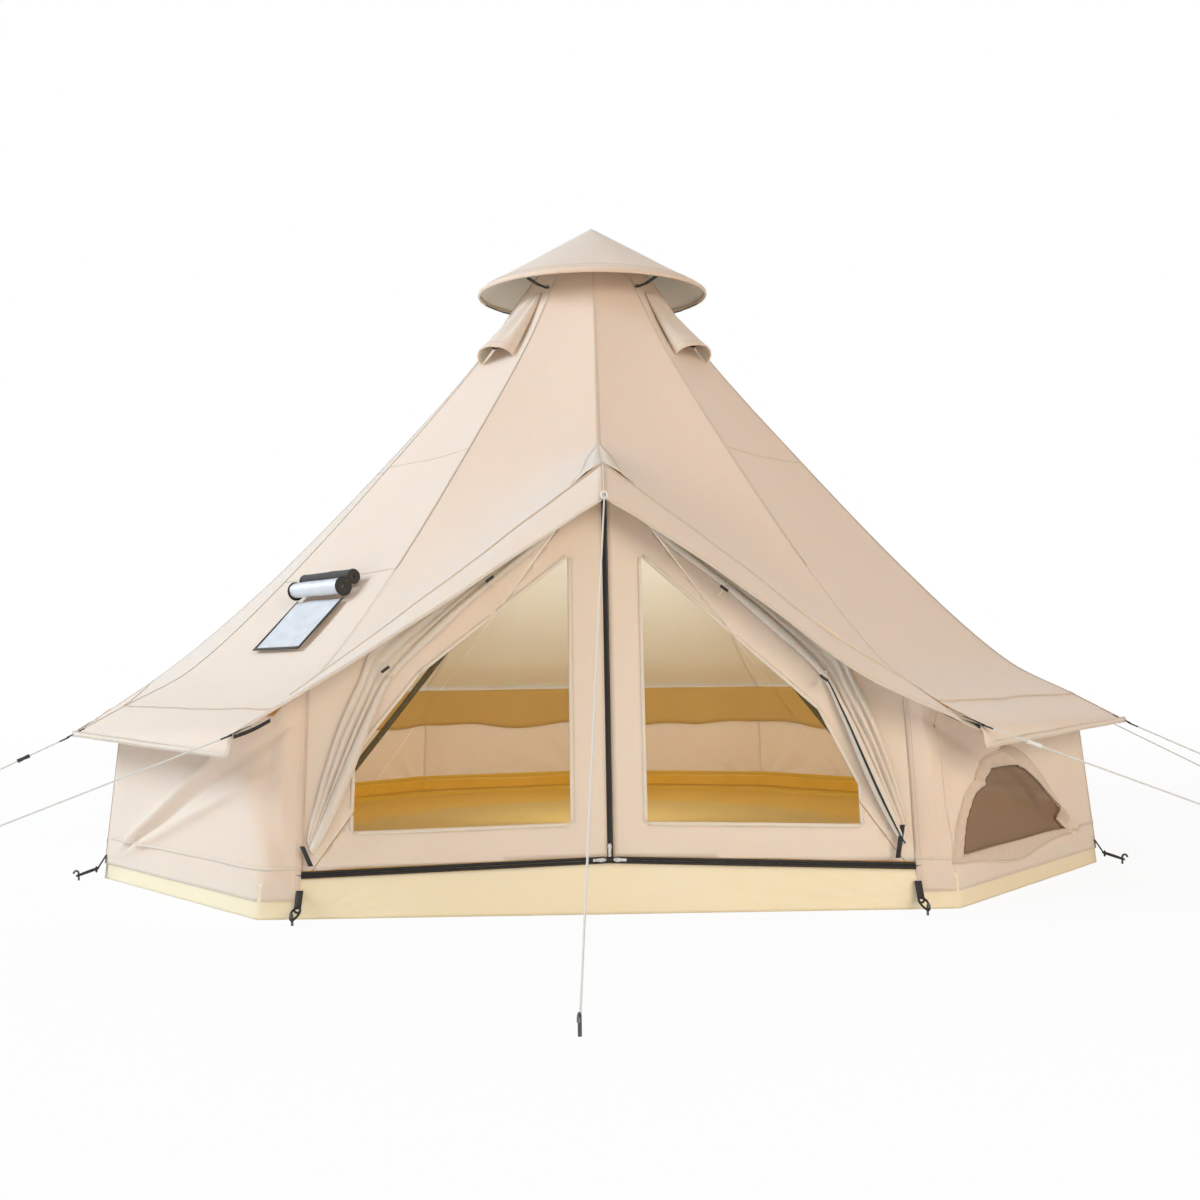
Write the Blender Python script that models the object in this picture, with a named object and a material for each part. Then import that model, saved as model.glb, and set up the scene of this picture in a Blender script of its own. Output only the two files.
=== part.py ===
"""Canvas hot tent: a twelve-sided bell tent with a stove jack, on one centre pole and a door pole.

Metres, +Z up. The origin is the middle of the groundsheet's underside, below the centre pole.
The door faces -Y, and an angle of a corner is measured from the door towards +X.
"""

import bmesh
import bpy
from math import acos, atan2, copysign, cos, degrees, hypot, pi, radians, sin, tan
from mathutils import Matrix, Vector

# Cloth, and the clearances between pieces that touch
canvas = 0.003
net = 0.0012
fit = 0.0004
overrun = 0.05

# Plan: twelve equal sides, of which two make room for the door
sides = 12
side_angle = radians(360 / sides)
base_radius = 2.0
wall_lean_in = 0.07
wall_top_radius = base_radius - wall_lean_in
wall_height = 0.59
groundsheet_rim = 0.10
wall_hem_height = 0.05
wall_top_gap = 0.007
front_wall_top_gap = 0.014
front_wall_stand_off = 0.006

# Roof
crown_radius = 0.14
crown_height = 2.50
roof_fall_shares = (
    (0.0, 0.0),
    (0.0615, 0.0529),
    (0.2151, 0.2586),
    (0.4497, 0.5199),
    (0.6844, 0.7644),
    (0.8715, 0.932),
    (1.0, 1.0),
)
skirt_reach = 0.17
skirt_drop = 0.13
skirt_drop_shares = (0.98, 0.73, 0.85, 0.70, 0.70, 0.70)
skirt_bend_share = 0.85
skirt_bend_fall_shares = (0.5, 0.85, 0.85, 0.85, 0.85, 0.85)
seam_rise = 0.10
seam_rise_shares = (0.0, 0.05, 0.15, 0.45, 0.8, 1.0, 0.65)
left_seam_shares = (0.0, 0.0, 1.3, 0.5, 0.5, 0.5)
right_seam_shares = (0.0, 0.0, 0.7, 0.5, 0.5, 0.5)
crown_plate_overlap = 0.012
crown_plate_thickness = 0.005

# Door
door_half_width = base_radius * 0.44
door_peak_height = 1.333
door_peak_forward = base_radius * 0.73
door_sill_height = 0.14
door_sill_drop = 0.03
hem_reach = 0.14
hem_drop = 0.13
hem_peak_forward = door_peak_forward + hem_reach
hem_peak_height = door_peak_height - hem_drop
ridge_knot_shares = ((0.33, 0.42), (0.67, 0.76))
zip_width = 0.020
zip_half_gap = 0.007
leaf_gap = 0.0015
leaf_bottom_gap = 0.002
screen_top_gap = 0.007
leaf_top_cut = 0.03
leaf_foot_in = 0.03
screen_lap = 0.012
screen_net_inner = 0.112
screen_net_outer = 0.735
screen_net_bottom = 0.255
screen_net_peak = 1.035
screen_net_shoulder = 0.54

# Rain cap
cap_radius = 0.496
cap_rise = 0.134
cap_fall = 0.16
cap_apex_height = crown_height + cap_rise
cap_rim_height = crown_height - cap_fall
cap_lip = 0.020
cap_belly = 0.012
cap_forward_lean = 0.115
cap_facets = 24
cap_strap_width = 0.022
cap_strap_thickness = 0.004
cap_strap_turn = radians(42)
cap_strap_foot = 0.03
cap_strap_foot_radius = 0.32
cap_strap_lift = 0.012

# Poles
center_pole_radius = 0.016
center_pole_wall = 0.002
center_pole_joint_height = crown_height * 0.508
center_pole_socket = 0.09
center_pole_top_gap = 0.04
center_pole_top_height = crown_height - center_pole_top_gap
pole_foot_radius = 0.024
pole_foot_height = 0.03
plug_collar_radius = 0.03
plug_collar_height = 0.012
door_pole_radius = 0.0095
door_pole_foot_radius = 0.0135
door_pole_foot_height = 0.03
door_pole_foot_side = base_radius * 0.54
door_pole_foot_ahead = 0.04
door_pole_foot_forward = door_peak_forward + door_pole_foot_ahead
door_pole_roof_gap = 0.004
door_pole_line_behind = 0.10
door_pole_line_forward = door_peak_forward - door_pole_line_behind
door_pole_bend_radius = 0.16
door_pole_bend_leg = 0.06

# Roof vents
vent_top_radius = 0.345
vent_mouth_radius = 0.572
vent_mouth_width = 0.22
vent_top_width = 0.06
vent_mouth_height = 0.072
vent_top_height = 0.016
vent_arc_steps = 8

# Stove jack, on the left front roof panel
jack_width = 0.29
jack_length = 0.24
jack_lower_radius = base_radius * 0.82
jack_chord_share = 0.45
jack_thickness = 0.003
jack_roll_radius = 0.032
jack_roll_overhang = 0.012
jack_roll_facets = 16

# Windows, in shares of the wall panel's width and height
window_outline_shares = (
    (0.055, 0.25),
    (0.715, 0.258),
    (0.69, 0.36),
    (0.65, 0.44),
    (0.575, 0.545),
    (0.49, 0.62),
    (0.405, 0.65),
    (0.315, 0.64),
    (0.235, 0.60),
    (0.155, 0.52),
    (0.095, 0.41),
)
window_lap = 0.012

# Rolled outer door flaps: the sewn edge, the free edge, the roll's radius and the fold's depth
flap_sewn_shares = (
    (0.06, 0.948),
    (0.23, 0.866),
    (0.392, 0.783),
    (0.568, 0.693),
    (0.79, 0.580),
    (0.905, 0.520),
    (0.985, 0.470),
    (0.985, 0.335),
    (0.985, 0.215),
    (0.985, 0.160),
)
flap_free_shares = (
    (0.075, 0.895),
    (0.23, 0.800),
    (0.392, 0.715),
    (0.557, 0.620),
    (0.724, 0.512),
    (0.784, 0.428),
    (0.835, 0.340),
    (0.89, 0.248),
    (0.945, 0.165),
    (0.965, 0.142),
)
flap_roll_radius = 0.026
flap_roll_shares = (0.45, 0.9, 0.5, 1.0, 0.55, 0.85, 1.0, 0.95, 0.6, 0.4)
flap_fold_depth = 0.03
flap_fold_shares = (0.1, 0.4, 0.15, 0.5, 0.2, 0.7, 1.0, 0.8, 0.35, 0.15)

# Zip sliders
slider_length = 0.022
slider_width = 0.012
slider_thickness = 0.007
slider_tab_length = 0.026
slider_tab_width = 0.008
slider_tab_thickness = 0.003

# Guy ropes, their runners and the pegs
rope_radius = 0.0025
rope_points = 9
guy_peg_radius = 0.004
guy_peg_height = 0.045
guy_peg_hook = 0.012
guy_tie_height = 0.022
front_peg_side = -0.09
front_peg_ahead = 1.21
front_peg_forward = hem_peak_forward + front_peg_ahead
corner_peg_side = base_radius * 1.18
corner_peg_forward = base_radius * 0.95
side_peg_out = 1.10
side_peg_radius = base_radius + side_peg_out
runner_radius = 0.007
runner_length = 0.04
runner_clearance = 0.0005
runner_place = 0.14
base_peg_reach = 0.08
base_peg_height = 0.03
base_peg_radius = 0.004

half = side_angle / 2
canvas_sand = (0.80, 0.66, 0.52)
canvas_shade = (0.76, 0.61, 0.48)
black_webbing = (0.02, 0.02, 0.02)
white_cord = (0.85, 0.85, 0.83)


def clear_scene():
    for old in list(bpy.data.objects):
        bpy.data.objects.remove(old, do_unlink=True)


def finish(obj, colour, roughness=0.85, metallic=0.0):
    """Gives the object a Principled material of its own."""
    material = bpy.data.materials.new(obj.name + "_finish")
    material.use_nodes = True
    shader = material.node_tree.nodes["Principled BSDF"]
    shader.inputs["Base Color"].default_value = (*colour, 1.0)
    shader.inputs["Roughness"].default_value = roughness
    shader.inputs["Metallic"].default_value = metallic
    obj.data.materials.clear()
    obj.data.materials.append(material)
    return obj


def add_mesh(name, points, faces, smooth=False):
    """One object of these points and faces, with its faces turned outwards."""
    mesh = bpy.data.meshes.new(name)
    shell = bmesh.new()
    made = [shell.verts.new(point) for point in points]
    for face in faces:
        shell.faces.new([made[index] for index in face])
    bmesh.ops.remove_doubles(shell, verts=shell.verts, dist=1e-6)
    bmesh.ops.triangulate(shell, faces=shell.faces)
    bmesh.ops.recalc_face_normals(shell, faces=shell.faces)
    if shell.calc_volume(signed=True) < 0:
        bmesh.ops.reverse_faces(shell, faces=shell.faces)
    shell.to_mesh(mesh)
    shell.free()
    if smooth:
        mesh.shade_smooth()
        mesh.set_sharp_from_angle(angle=radians(35))
    obj = bpy.data.objects.new(name, mesh)
    bpy.context.scene.collection.objects.link(obj)
    return obj


def loft(name, loops, closed=False, smooth=False):
    """A solid through loops of equal count: capped at its ends, or run round to the first loop."""
    count = len(loops[0])
    points = [point for loop in loops for point in loop]
    faces = []
    spans = len(loops) if closed else len(loops) - 1
    for row in range(spans):
        here, there = row * count, (row + 1) % len(loops) * count
        for column in range(count):
            beside = (column + 1) % count
            faces.append((here + column, here + beside, there + beside, there + column))
    if not closed:
        faces.append(tuple(range(count))[::-1])
        faces.append(tuple(range(len(points) - count, len(points))))
    return add_mesh(name, points, faces, smooth)


def prism(name, outline, origin, across, up, outward, low, high):
    """An outline in the plane of across and up, raised from low to high along outward."""
    base = [origin + across * u + up * v for u, v in outline]
    return loft(name, [[p + outward * depth for p in base] for depth in (low, high)])


def turned(name, profile, facets, origin, axis, smooth=True):
    """A closed profile of (radius, height) points, turned about an axis from its origin."""
    axis = Vector(axis).normalized()
    across = axis.orthogonal().normalized()
    beside = axis.cross(across)
    loops = []
    for step in range(facets):
        turn = 2 * pi * step / facets
        spoke = across * cos(turn) + beside * sin(turn)
        loops.append([origin + spoke * radius + axis * height for radius, height in profile])
    return loft(name, loops, closed=True, smooth=smooth)


def rod(name, profile, facets, origin, axis):
    """A solid of revolution whose profile starts and ends on its axis."""
    axis = Vector(axis).normalized()
    across = axis.orthogonal().normalized()
    beside = axis.cross(across)
    points = [origin + axis * profile[0][1], origin + axis * profile[-1][1]]
    rings = profile[1:-1]
    for radius, height in rings:
        for step in range(facets):
            turn = 2 * pi * step / facets
            points.append(origin + axis * height + (across * cos(turn) + beside * sin(turn)) * radius)
    faces = []
    last = 2 + (len(rings) - 1) * facets
    for step in range(facets):
        beyond = (step + 1) % facets
        faces.append((0, 2 + beyond, 2 + step))
        faces.append((1, last + step, last + beyond))
        for ring in range(len(rings) - 1):
            low = 2 + ring * facets
            faces.append((low + step, low + beyond, low + facets + beyond, low + facets + step))
    return add_mesh(name, points, faces, smooth=True)


def tube(name, points, radius, sides_share=2):
    """A solid cord or bent rod: a curve with a round bevel and filled caps."""
    curve = bpy.data.curves.new(name, "CURVE")
    curve.dimensions = "3D"
    curve.bevel_depth = radius
    curve.bevel_resolution = sides_share
    curve.use_fill_caps = True
    line = curve.splines.new("POLY")
    line.points.add(len(points) - 1)
    for knot, point in zip(line.points, points):
        knot.co = (*point, 1.0)
    obj = bpy.data.objects.new(name, curve)
    bpy.context.scene.collection.objects.link(obj)
    return obj


def combine(obj, other, operation):
    """Applies one exact Boolean and takes the second object away."""
    step = obj.modifiers.new("combine", "BOOLEAN")
    step.operation = operation
    step.solver = "EXACT"
    step.object = other
    bpy.context.view_layer.update()
    graph = bpy.context.evaluated_depsgraph_get()
    made = bpy.data.meshes.new_from_object(obj.evaluated_get(graph))
    obj.modifiers.remove(step)
    obj.data = made
    bpy.data.objects.remove(other, do_unlink=True)
    return obj


def copy_of(obj, name):
    twin = bpy.data.objects.new(name, obj.data.copy())
    bpy.context.scene.collection.objects.link(twin)
    return twin


def at_corner(radius, angle, height):
    return Vector((radius * sin(angle), -radius * cos(angle), height))


def offset_profile(profile, thickness):
    """The line that runs a thickness inside a profile of (radius, height) corners of the ring."""
    flat = [(radius * cos(half), height) for radius, height in profile]
    moved = []
    for index, (run, height) in enumerate(flat):
        before = flat[max(index - 1, 0)]
        after = flat[min(index + 1, len(flat) - 1)]
        normals = []
        for start, end in ((before, (run, height)), ((run, height), after)):
            span = hypot(end[0] - start[0], end[1] - start[1])
            if span > 0:
                normals.append(Vector(((end[1] - start[1]) / span, -(end[0] - start[0]) / span)))
        middle = sum(normals, Vector((0.0, 0.0))).normalized()
        reach = thickness / max(middle.dot(normals[0]), 0.5)
        moved.append(((run + middle.x * reach) / cos(half), height + middle.y * reach))
    return moved


def corner_index(angle):
    """0 at the corner beside the door, up to 5 at the back."""
    return round(abs(degrees(angle)) / degrees(side_angle)) - 1


def roof_profile(angle):
    """Corners of the roof's outer face down to the skirt's tip, on the seam at this angle."""
    run = wall_top_radius - crown_radius
    fall = crown_height - wall_height
    index = corner_index(angle)
    hand_shares = left_seam_shares if angle < 0 else right_seam_shares
    rise = seam_rise * hand_shares[index]
    profile = []
    for (out_share, fall_share), rise_share in zip(roof_fall_shares, seam_rise_shares):
        height = crown_height - fall_share * fall + rise * rise_share
        profile.append((crown_radius + out_share * run, height))
    eave_radius, eave_height = profile[-1]
    drop = skirt_drop * skirt_drop_shares[index]
    bend_drop = drop * skirt_bend_fall_shares[index]
    profile.append((eave_radius + skirt_reach * skirt_bend_share, eave_height - bend_drop))
    return profile + [(eave_radius + skirt_reach, eave_height - drop)]


def along(profile, radius):
    """The height of a profile at a radius."""
    for (r0, z0), (r1, z1) in zip(profile, profile[1:]):
        if r0 <= radius <= r1:
            return z0 + (z1 - z0) * (radius - r0) / (r1 - r0)
    return profile[-1][1]


def wall_outer(height):
    """Radius of the walls' outer face at a height."""
    lean = (base_radius - wall_top_radius) / wall_height
    return base_radius + fit + canvas - lean * height


def wall_rows(angle):
    """Rows of (outer radius, outer height, inner radius, inner height), top first."""
    under = offset_profile(roof_profile(angle), canvas)
    top = []
    for depth in (0.0, canvas):
        height = wall_height
        for _ in range(9):
            radius = wall_outer(height) - depth
            height = along(under, radius) - wall_top_gap
        top += [radius, height]
    rows = [tuple(top)]
    for height in ((wall_height + wall_hem_height) / 2, wall_hem_height):
        rows.append((wall_outer(height), height, wall_outer(height) - canvas, height))
    return rows


def pull_in(columns, gap):
    """Moves the end columns of a sheet towards each other by half a seam's gap."""
    drawn = [list(column) for column in columns]
    for end, beside in ((0, 1), (-1, -2)):
        for row, point in enumerate(columns[end]):
            drawn[end][row] = point + (columns[beside][row] - point).normalized() * gap / 2
    return drawn


def sheet(name, outer, inner):
    """A cloth solid from columns of points on its outer and its inner face."""
    outer, inner = pull_in(outer, fit), pull_in(inner, fit)
    rows = range(len(outer[0]))
    loops = [[c[row] for c in outer] + [c[row] for c in reversed(inner)] for row in rows]
    return loft(name, loops)


def roof_sheet(name, angles):
    outer, inner = [], []
    for angle in angles:
        profile = roof_profile(angle)
        outer.append([at_corner(radius, angle, height) for radius, height in profile])
        under = offset_profile(profile, canvas)
        inner.append([at_corner(radius, angle, height) for radius, height in under])
    return finish(sheet(name, outer, inner), canvas_sand)


def door_lean():
    return (base_radius * cos(side_angle) - door_peak_forward) / door_peak_height


def door_point(side, height, forward=0.0):
    """A point on the leaning plane of the door, or in front of it."""
    plane = base_radius * cos(side_angle) - door_lean() * height
    return Vector((side, -plane - forward, height))


def door_across():
    return Vector((1.0, 0.0, 0.0))


def door_up():
    return Vector((0.0, door_lean(), 1.0)).normalized()


def door_outward():
    return Vector((0.0, -1.0, door_lean())).normalized()


def on_door(side, height):
    """A side and height as coordinates in the door's plane."""
    return (side, height / door_up().z)


def hem_line_corner():
    """Where the first roof seam passes through the door's plane: (radius, height)."""
    profile = roof_profile(side_angle)
    low, high = crown_radius, wall_top_radius
    for _ in range(50):
        middle = (low + high) / 2
        plane = base_radius * cos(side_angle) - door_lean() * along(profile, middle)
        if middle * cos(side_angle) < plane:
            low = middle
        else:
            high = middle
    return low, along(profile, low)


def door_top(side):
    """Height of the roof's edge above the door, at this distance to the side."""
    radius, height = hem_line_corner()
    share = abs(side) / (radius * sin(side_angle))
    return door_peak_height + (height - door_peak_height) * share


def sill_top(side):
    return door_sill_height - door_sill_drop * abs(side) / door_half_width


def ridge_profile():
    """The seam over the door, from the crown to the peak of the hem."""
    ridge = roof_profile(side_angle)[:4]
    start = ridge[-1]
    for out_share, down_share in ridge_knot_shares:
        forward = start[0] + (door_peak_forward - start[0]) * out_share
        ridge.append((forward, start[1] + (door_peak_height - start[1]) * down_share))
    return ridge + [(door_peak_forward, door_peak_height), (hem_peak_forward, hem_peak_height)]


def door_roof_sheet(name, hand):
    """The roof panel beside the ridge, with the deep hem that shades the door."""
    angle = hand * side_angle
    whole = roof_profile(side_angle)
    seam = whole[:-3] + [hem_line_corner(), whole[-2]]
    ridge = ridge_profile()
    outer = [
        [at_corner(r, 0.0, z) for r, z in ridge],
        [at_corner(r, angle, z) for r, z in seam],
    ]
    inner = [
        [at_corner(r, 0.0, z) for r, z in offset_profile(ridge, canvas)],
        [at_corner(r, angle, z) for r, z in offset_profile(seam, canvas)],
    ]
    return finish(sheet(name, outer, inner), canvas_sand)


def front_wall_columns(hand):
    """Columns of the front wall: its back corner, the corner beside the door, the door's edge."""
    outer, inner = [], []
    for turn in (2, 1):
        angle = hand * turn * side_angle
        rows = wall_rows(angle)
        if turn == 1:
            outer_top, inner_top = (rows[0][index] - front_wall_top_gap for index in (1, 3))
            radii = wall_outer(outer_top), wall_outer(inner_top) - canvas
            rows[0] = (radii[0], outer_top, radii[1], inner_top)
        outer.append([at_corner(row[0], angle, row[1]) for row in rows])
        inner.append([at_corner(row[2], angle, row[3]) for row in rows])
    side = hand * door_half_width
    top = door_top(side) - front_wall_top_gap
    rows = (
        (top, fit),
        ((top + wall_hem_height) / 2, fit),
        (wall_hem_height, front_wall_stand_off),
    )
    outer.append([door_point(side, height, lift + canvas) for height, lift in rows])
    inner.append([door_point(side, height, lift) for height, lift in rows])
    return outer, inner


def groundsheet():
    """A welded tray: a floor with an upright rim that rises to the sill in front."""
    lean = (base_radius - wall_top_radius) / wall_height
    rings = {"outer_low": [], "outer_high": [], "inner_high": [], "inner_low": []}

    def add(low, high, inward):
        rings["outer_low"].append(low)
        rings["outer_high"].append(high)
        rings["inner_high"].append(high + inward)
        floor = low + (high - low) * (canvas / high.z)
        rings["inner_low"].append(floor + inward)

    for turn in range(1, sides):
        angle = turn * side_angle
        inward = at_corner(-canvas / cos(half), angle, 0.0)
        low = at_corner(base_radius, angle, 0.0)
        high = at_corner(base_radius - lean * groundsheet_rim, angle, groundsheet_rim)
        add(low, high, inward)
    inward = Vector((0.0, canvas, 0.0))
    for side in (-door_half_width, 0.0, door_half_width):
        add(door_point(side, 0.0), door_point(side, sill_top(side)), inward)
    loops = [rings[key] for key in ("outer_low", "outer_high", "inner_high", "inner_low")]
    return finish(loft("groundsheet", loops), (0.86, 0.76, 0.56), 0.55)


def sill_zip():
    """The zip along the sill, from foot to foot."""
    loops = []
    for side in (-door_half_width + screen_lap, 0.0, door_half_width - screen_lap):
        low, high = sill_top(side) + fit, sill_top(side) + zip_width
        front = [door_point(side, low), door_point(side, high)]
        back = [point + Vector((0.0, canvas, 0.0)) for point in reversed(front)]
        loops.append(front + back)
    return finish(loft("sill_zip", loops), black_webbing, 0.6)


def screen_outline(hand):
    """The left or right half of the netted inner door, in the door's plane."""
    foot = door_half_width + screen_lap
    centre = zip_half_gap if hand < 0 else -zip_half_gap - leaf_gap
    low = sill_top(0.0) + zip_width + leaf_bottom_gap
    corners = [
        (-centre, low),
        (foot, sill_top(door_half_width) + zip_width + leaf_bottom_gap),
        (foot, door_top(foot) - screen_top_gap),
        (-centre, door_top(0.0) - screen_top_gap - leaf_top_cut),
    ]
    return [on_door(hand * side, height) for side, height in corners]


def fold_line(hand):
    """Both ends of the line about which a netted leaf folds back, at the cloth's inner face."""
    back = -door_outward() * canvas
    foot_side = hand * (door_half_width - leaf_foot_in)
    foot = door_point(foot_side, sill_top(foot_side) + zip_width) + back
    peak = door_point(0.0, door_top(0.0) - screen_top_gap) + back
    return foot, peak


def screens(hand, word):
    """The netted inner door's half, parted into the leaf that folds back and the sewn side."""
    frame = (door_point(0.0, 0.0), door_across(), door_up(), door_outward())
    whole = prism("screen_" + word, screen_outline(hand), *frame, -canvas, 0.0)
    inner, outer = hand * screen_net_inner, hand * screen_net_outer
    opening = [
        on_door(inner, screen_net_bottom),
        on_door(outer, screen_net_bottom - door_sill_drop / 2),
        on_door(outer, screen_net_shoulder),
        on_door(inner, screen_net_peak),
    ]
    pocket = prism("pocket", opening, *frame, net - canvas, overrun)
    combine(whole, pocket, "DIFFERENCE")
    foot, peak = fold_line(hand)
    line = (peak - foot).normalized()
    inward = door_outward().cross(line).normalized() * hand
    far = door_half_width + overrun
    leaf = copy_of(whole, "screen_leaf_" + word)
    side = copy_of(whole, "screen_side_" + word)
    bpy.data.objects.remove(whole, do_unlink=True)
    start, end = foot - line * far, peak + line * far
    for obj, sign in ((leaf, 1), (side, -1)):
        edge = [point + inward * fit / 2 * sign for point in (start, end)]
        away = [point + inward * sign * 2 * far for point in (end, start)]
        depth = door_outward() * (canvas + overrun)
        keeper = loft("keeper", [[p - depth for p in edge + away], [p + depth for p in edge + away]])
        combine(obj, keeper, "INTERSECT")
        finish(obj, canvas_shade)
    return leaf, side


def door_flap(hand, word):
    """An outer door half, rolled and tied back, hanging in folds beside the opening."""
    loops = []
    rows = zip(flap_sewn_shares, flap_free_shares, flap_roll_shares, flap_fold_shares)
    for sewn, free, roll_share, fold_share in rows:
        start = Vector((sewn[0] * door_half_width, sewn[1] * door_peak_height))
        end = Vector((free[0] * door_half_width, free[1] * door_peak_height))
        roll = flap_roll_radius * roll_share
        fold = flap_fold_depth * fold_share
        down = (end - start).normalized()
        span = (end - start).length
        front, back = [], []
        for share, crest in ((0.0, 0.0), (0.2, 1.0), (0.4, 0.25), (0.6, 0.9), (0.75, 0.3)):
            place = start + down * span * share
            lift = fit + fold * crest
            front.append((place, lift + canvas))
            back.append((place, lift))
        bead = []
        for step in range(7):
            turn = radians(150 - 50 * step)
            place = end + down * roll * cos(turn) * 0.9
            bead.append((place, fit + roll + roll * sin(turn)))
        loop = front + bead + back[::-1]
        loops.append([door_point(hand * p.x, p.y, lift) for p, lift in loop])
    return finish(loft("door_flap_" + word, loops, smooth=True), canvas_shade)


def roof_frame(angle_middle, top_radius, bottom_radius):
    """A roof panel's flat between two radii: origin at the upper, across, down, out, length."""
    profile = roof_profile(angle_middle + copysign(half, angle_middle))
    lower, upper = along(profile, bottom_radius), along(profile, top_radius)
    start = at_corner(top_radius * cos(half), angle_middle, upper)
    end = at_corner(bottom_radius * cos(half), angle_middle, lower)
    down = (end - start).normalized()
    across = at_corner(1.0, angle_middle + pi / 2, 0.0)
    outward = across.cross(down).normalized()
    if outward.z < 0:
        outward = -outward
    return start, across, down, outward, (end - start).length


def vent_hood(name, angle_middle):
    """A sewn scoop that widens down the roof and stays open at its lower end."""
    start, across, down, outward, length = roof_frame(
        angle_middle, vent_top_radius, vent_mouth_radius
    )
    loops = []
    for share in (0.0, 0.12, 0.45, 0.75, 1.0):
        wide = vent_top_width + (vent_mouth_width - vent_top_width) * share ** 0.8
        high = vent_top_height + (vent_mouth_height - vent_top_height) * share
        base = start + down * length * share + outward * fit
        outer, inner = [], []
        for step in range(vent_arc_steps + 1):
            turn = pi * step / vent_arc_steps
            outer.append(base + across * cos(turn) * wide / 2 + outward * sin(turn) * high)
            thin = canvas if share > 0 else high * 0.8
            inner.append(
                base
                + across * cos(turn) * (wide / 2 - thin)
                + outward * sin(turn) * (high - thin)
            )
        loops.append(outer + inner[::-1])
    return finish(loft(name, loops, smooth=True), canvas_sand)


def stove_jack():
    """A heat-resistant panel sewn on the roof, and its cover rolled up above it."""
    angle_middle = -1.5 * side_angle
    profile = roof_profile(side_angle * 2)
    upper_knot = profile[4][0]
    start, across, down, outward, _ = roof_frame(angle_middle, upper_knot, profile[5][0])
    run = (jack_lower_radius - upper_knot) * cos(half)
    lower = start + down * run / hypot(down.x, down.y)
    chord = 2 * jack_lower_radius * sin(half)
    shift = across * (0.5 - jack_chord_share) * chord
    corner = lower + shift
    outline = [
        (-jack_width / 2, 0.0),
        (jack_width / 2, 0.0),
        (jack_width / 2, jack_length),
        (-jack_width / 2, jack_length),
    ]
    plate = prism(
        "stove_jack_panel", outline, corner, across, -down, outward, fit, fit + jack_thickness
    )
    finish(plate, (0.72, 0.73, 0.75), 0.35, 0.6)
    seat = fit + jack_roll_radius
    length = jack_width + 2 * jack_roll_overhang
    middle = corner - down * (jack_length + fit + jack_roll_radius) + outward * seat
    profile = [(0.0, 0.0), (jack_roll_radius, 0.0), (jack_roll_radius, length), (0.0, length)]
    roll = rod(
        "stove_jack_cover", profile, jack_roll_facets, middle - across * length / 2, across
    )
    finish(roll, (0.75, 0.76, 0.78), 0.3, 0.7)
    return plate, roll


def rain_cap():
    """A shallow cone of cloth over the crown, hooked to the roof by four elastic straps."""
    rim = cap_rim_height
    profile = [
        (0.0, cap_apex_height),
        (cap_radius / 2, (cap_apex_height + rim) / 2 + cap_belly),
        (cap_radius, rim),
        (cap_radius, rim - cap_lip),
        (cap_radius - canvas, rim - cap_lip),
        (cap_radius - canvas, rim - canvas / 2),
        (cap_radius / 2 - canvas, (cap_apex_height + rim) / 2 + cap_belly - canvas),
        (0.0, cap_apex_height - canvas * 1.4),
    ]
    cap = rod("rain_cap", profile, cap_facets, Vector((0.0, 0.0, 0.0)), (0.0, 0.0, 1.0))
    for vertex in cap.data.vertices:
        vertex.co.z += cap_forward_lean * vertex.co.y
    roof = roof_profile(side_angle * 2)
    for front in (0, 1):
        for hand in (-1, 1):
            turn = hand * (cap_strap_turn if front else pi - cap_strap_turn)
            radial, tangent = at_corner(1.0, turn, 0.0), at_corner(1.0, turn + pi / 2, 0.0)
            middle = hand * side_angle * (1.5 if front else sides / 2 - 1.5)
            lean = cos(turn - middle)
            foot_top = cap_strap_foot_radius - cap_strap_foot / 2
            foot_end = cap_strap_foot_radius + cap_strap_foot / 2
            slope = atan2(
                along(roof, foot_top) - along(roof, foot_end), (foot_end - foot_top) * cos(half)
            )
            normal = radial * sin(slope) + Vector((0.0, 0.0, cos(slope)))
            seat = normal * (fit + cap_strap_thickness)
            hold = radial * (cap_radius - canvas / 2)
            places = [
                hold + Vector((0.0, 0.0, rim - cap_lip / 2 + cap_forward_lean * hold.y)),
                radial * (foot_end * cos(half) / lean)
                + Vector((0.0, 0.0, along(roof, foot_end)))
                + normal * (cap_strap_lift + fit),
                radial * (foot_top * cos(half) / lean)
                + Vector((0.0, 0.0, along(roof, foot_top)))
                + seat,
            ]
            loops = []
            for index, place in enumerate(places):
                thick = normal * cap_strap_thickness / 2
                wide = tangent * cap_strap_width / 2
                lift = Vector((0.0, 0.0, 0.0)) if index < 2 else thick / 2
                loops.append(
                    [
                        place + wide + thick + lift,
                        place - wide + thick + lift,
                        place - wide - thick + lift,
                        place + wide - thick + lift,
                    ]
                )
            strap = loft("strap", loops)
            combine(cap, strap, "UNION")
    return finish(cap, canvas_sand)


def crown_plate():
    """The reinforced disc that gathers the roof panels round the pole's top."""
    bore = center_pole_radius + fit
    rim = crown_radius + crown_plate_overlap
    low, high = crown_height + fit, crown_height + fit + crown_plate_thickness
    profile = [(bore, high), (rim, high), (rim, low), (bore, low)]
    plate = turned("crown_plate", profile, cap_facets, Vector((0, 0, 0)), (0.0, 0.0, 1.0))
    return finish(plate, canvas_shade)


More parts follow.
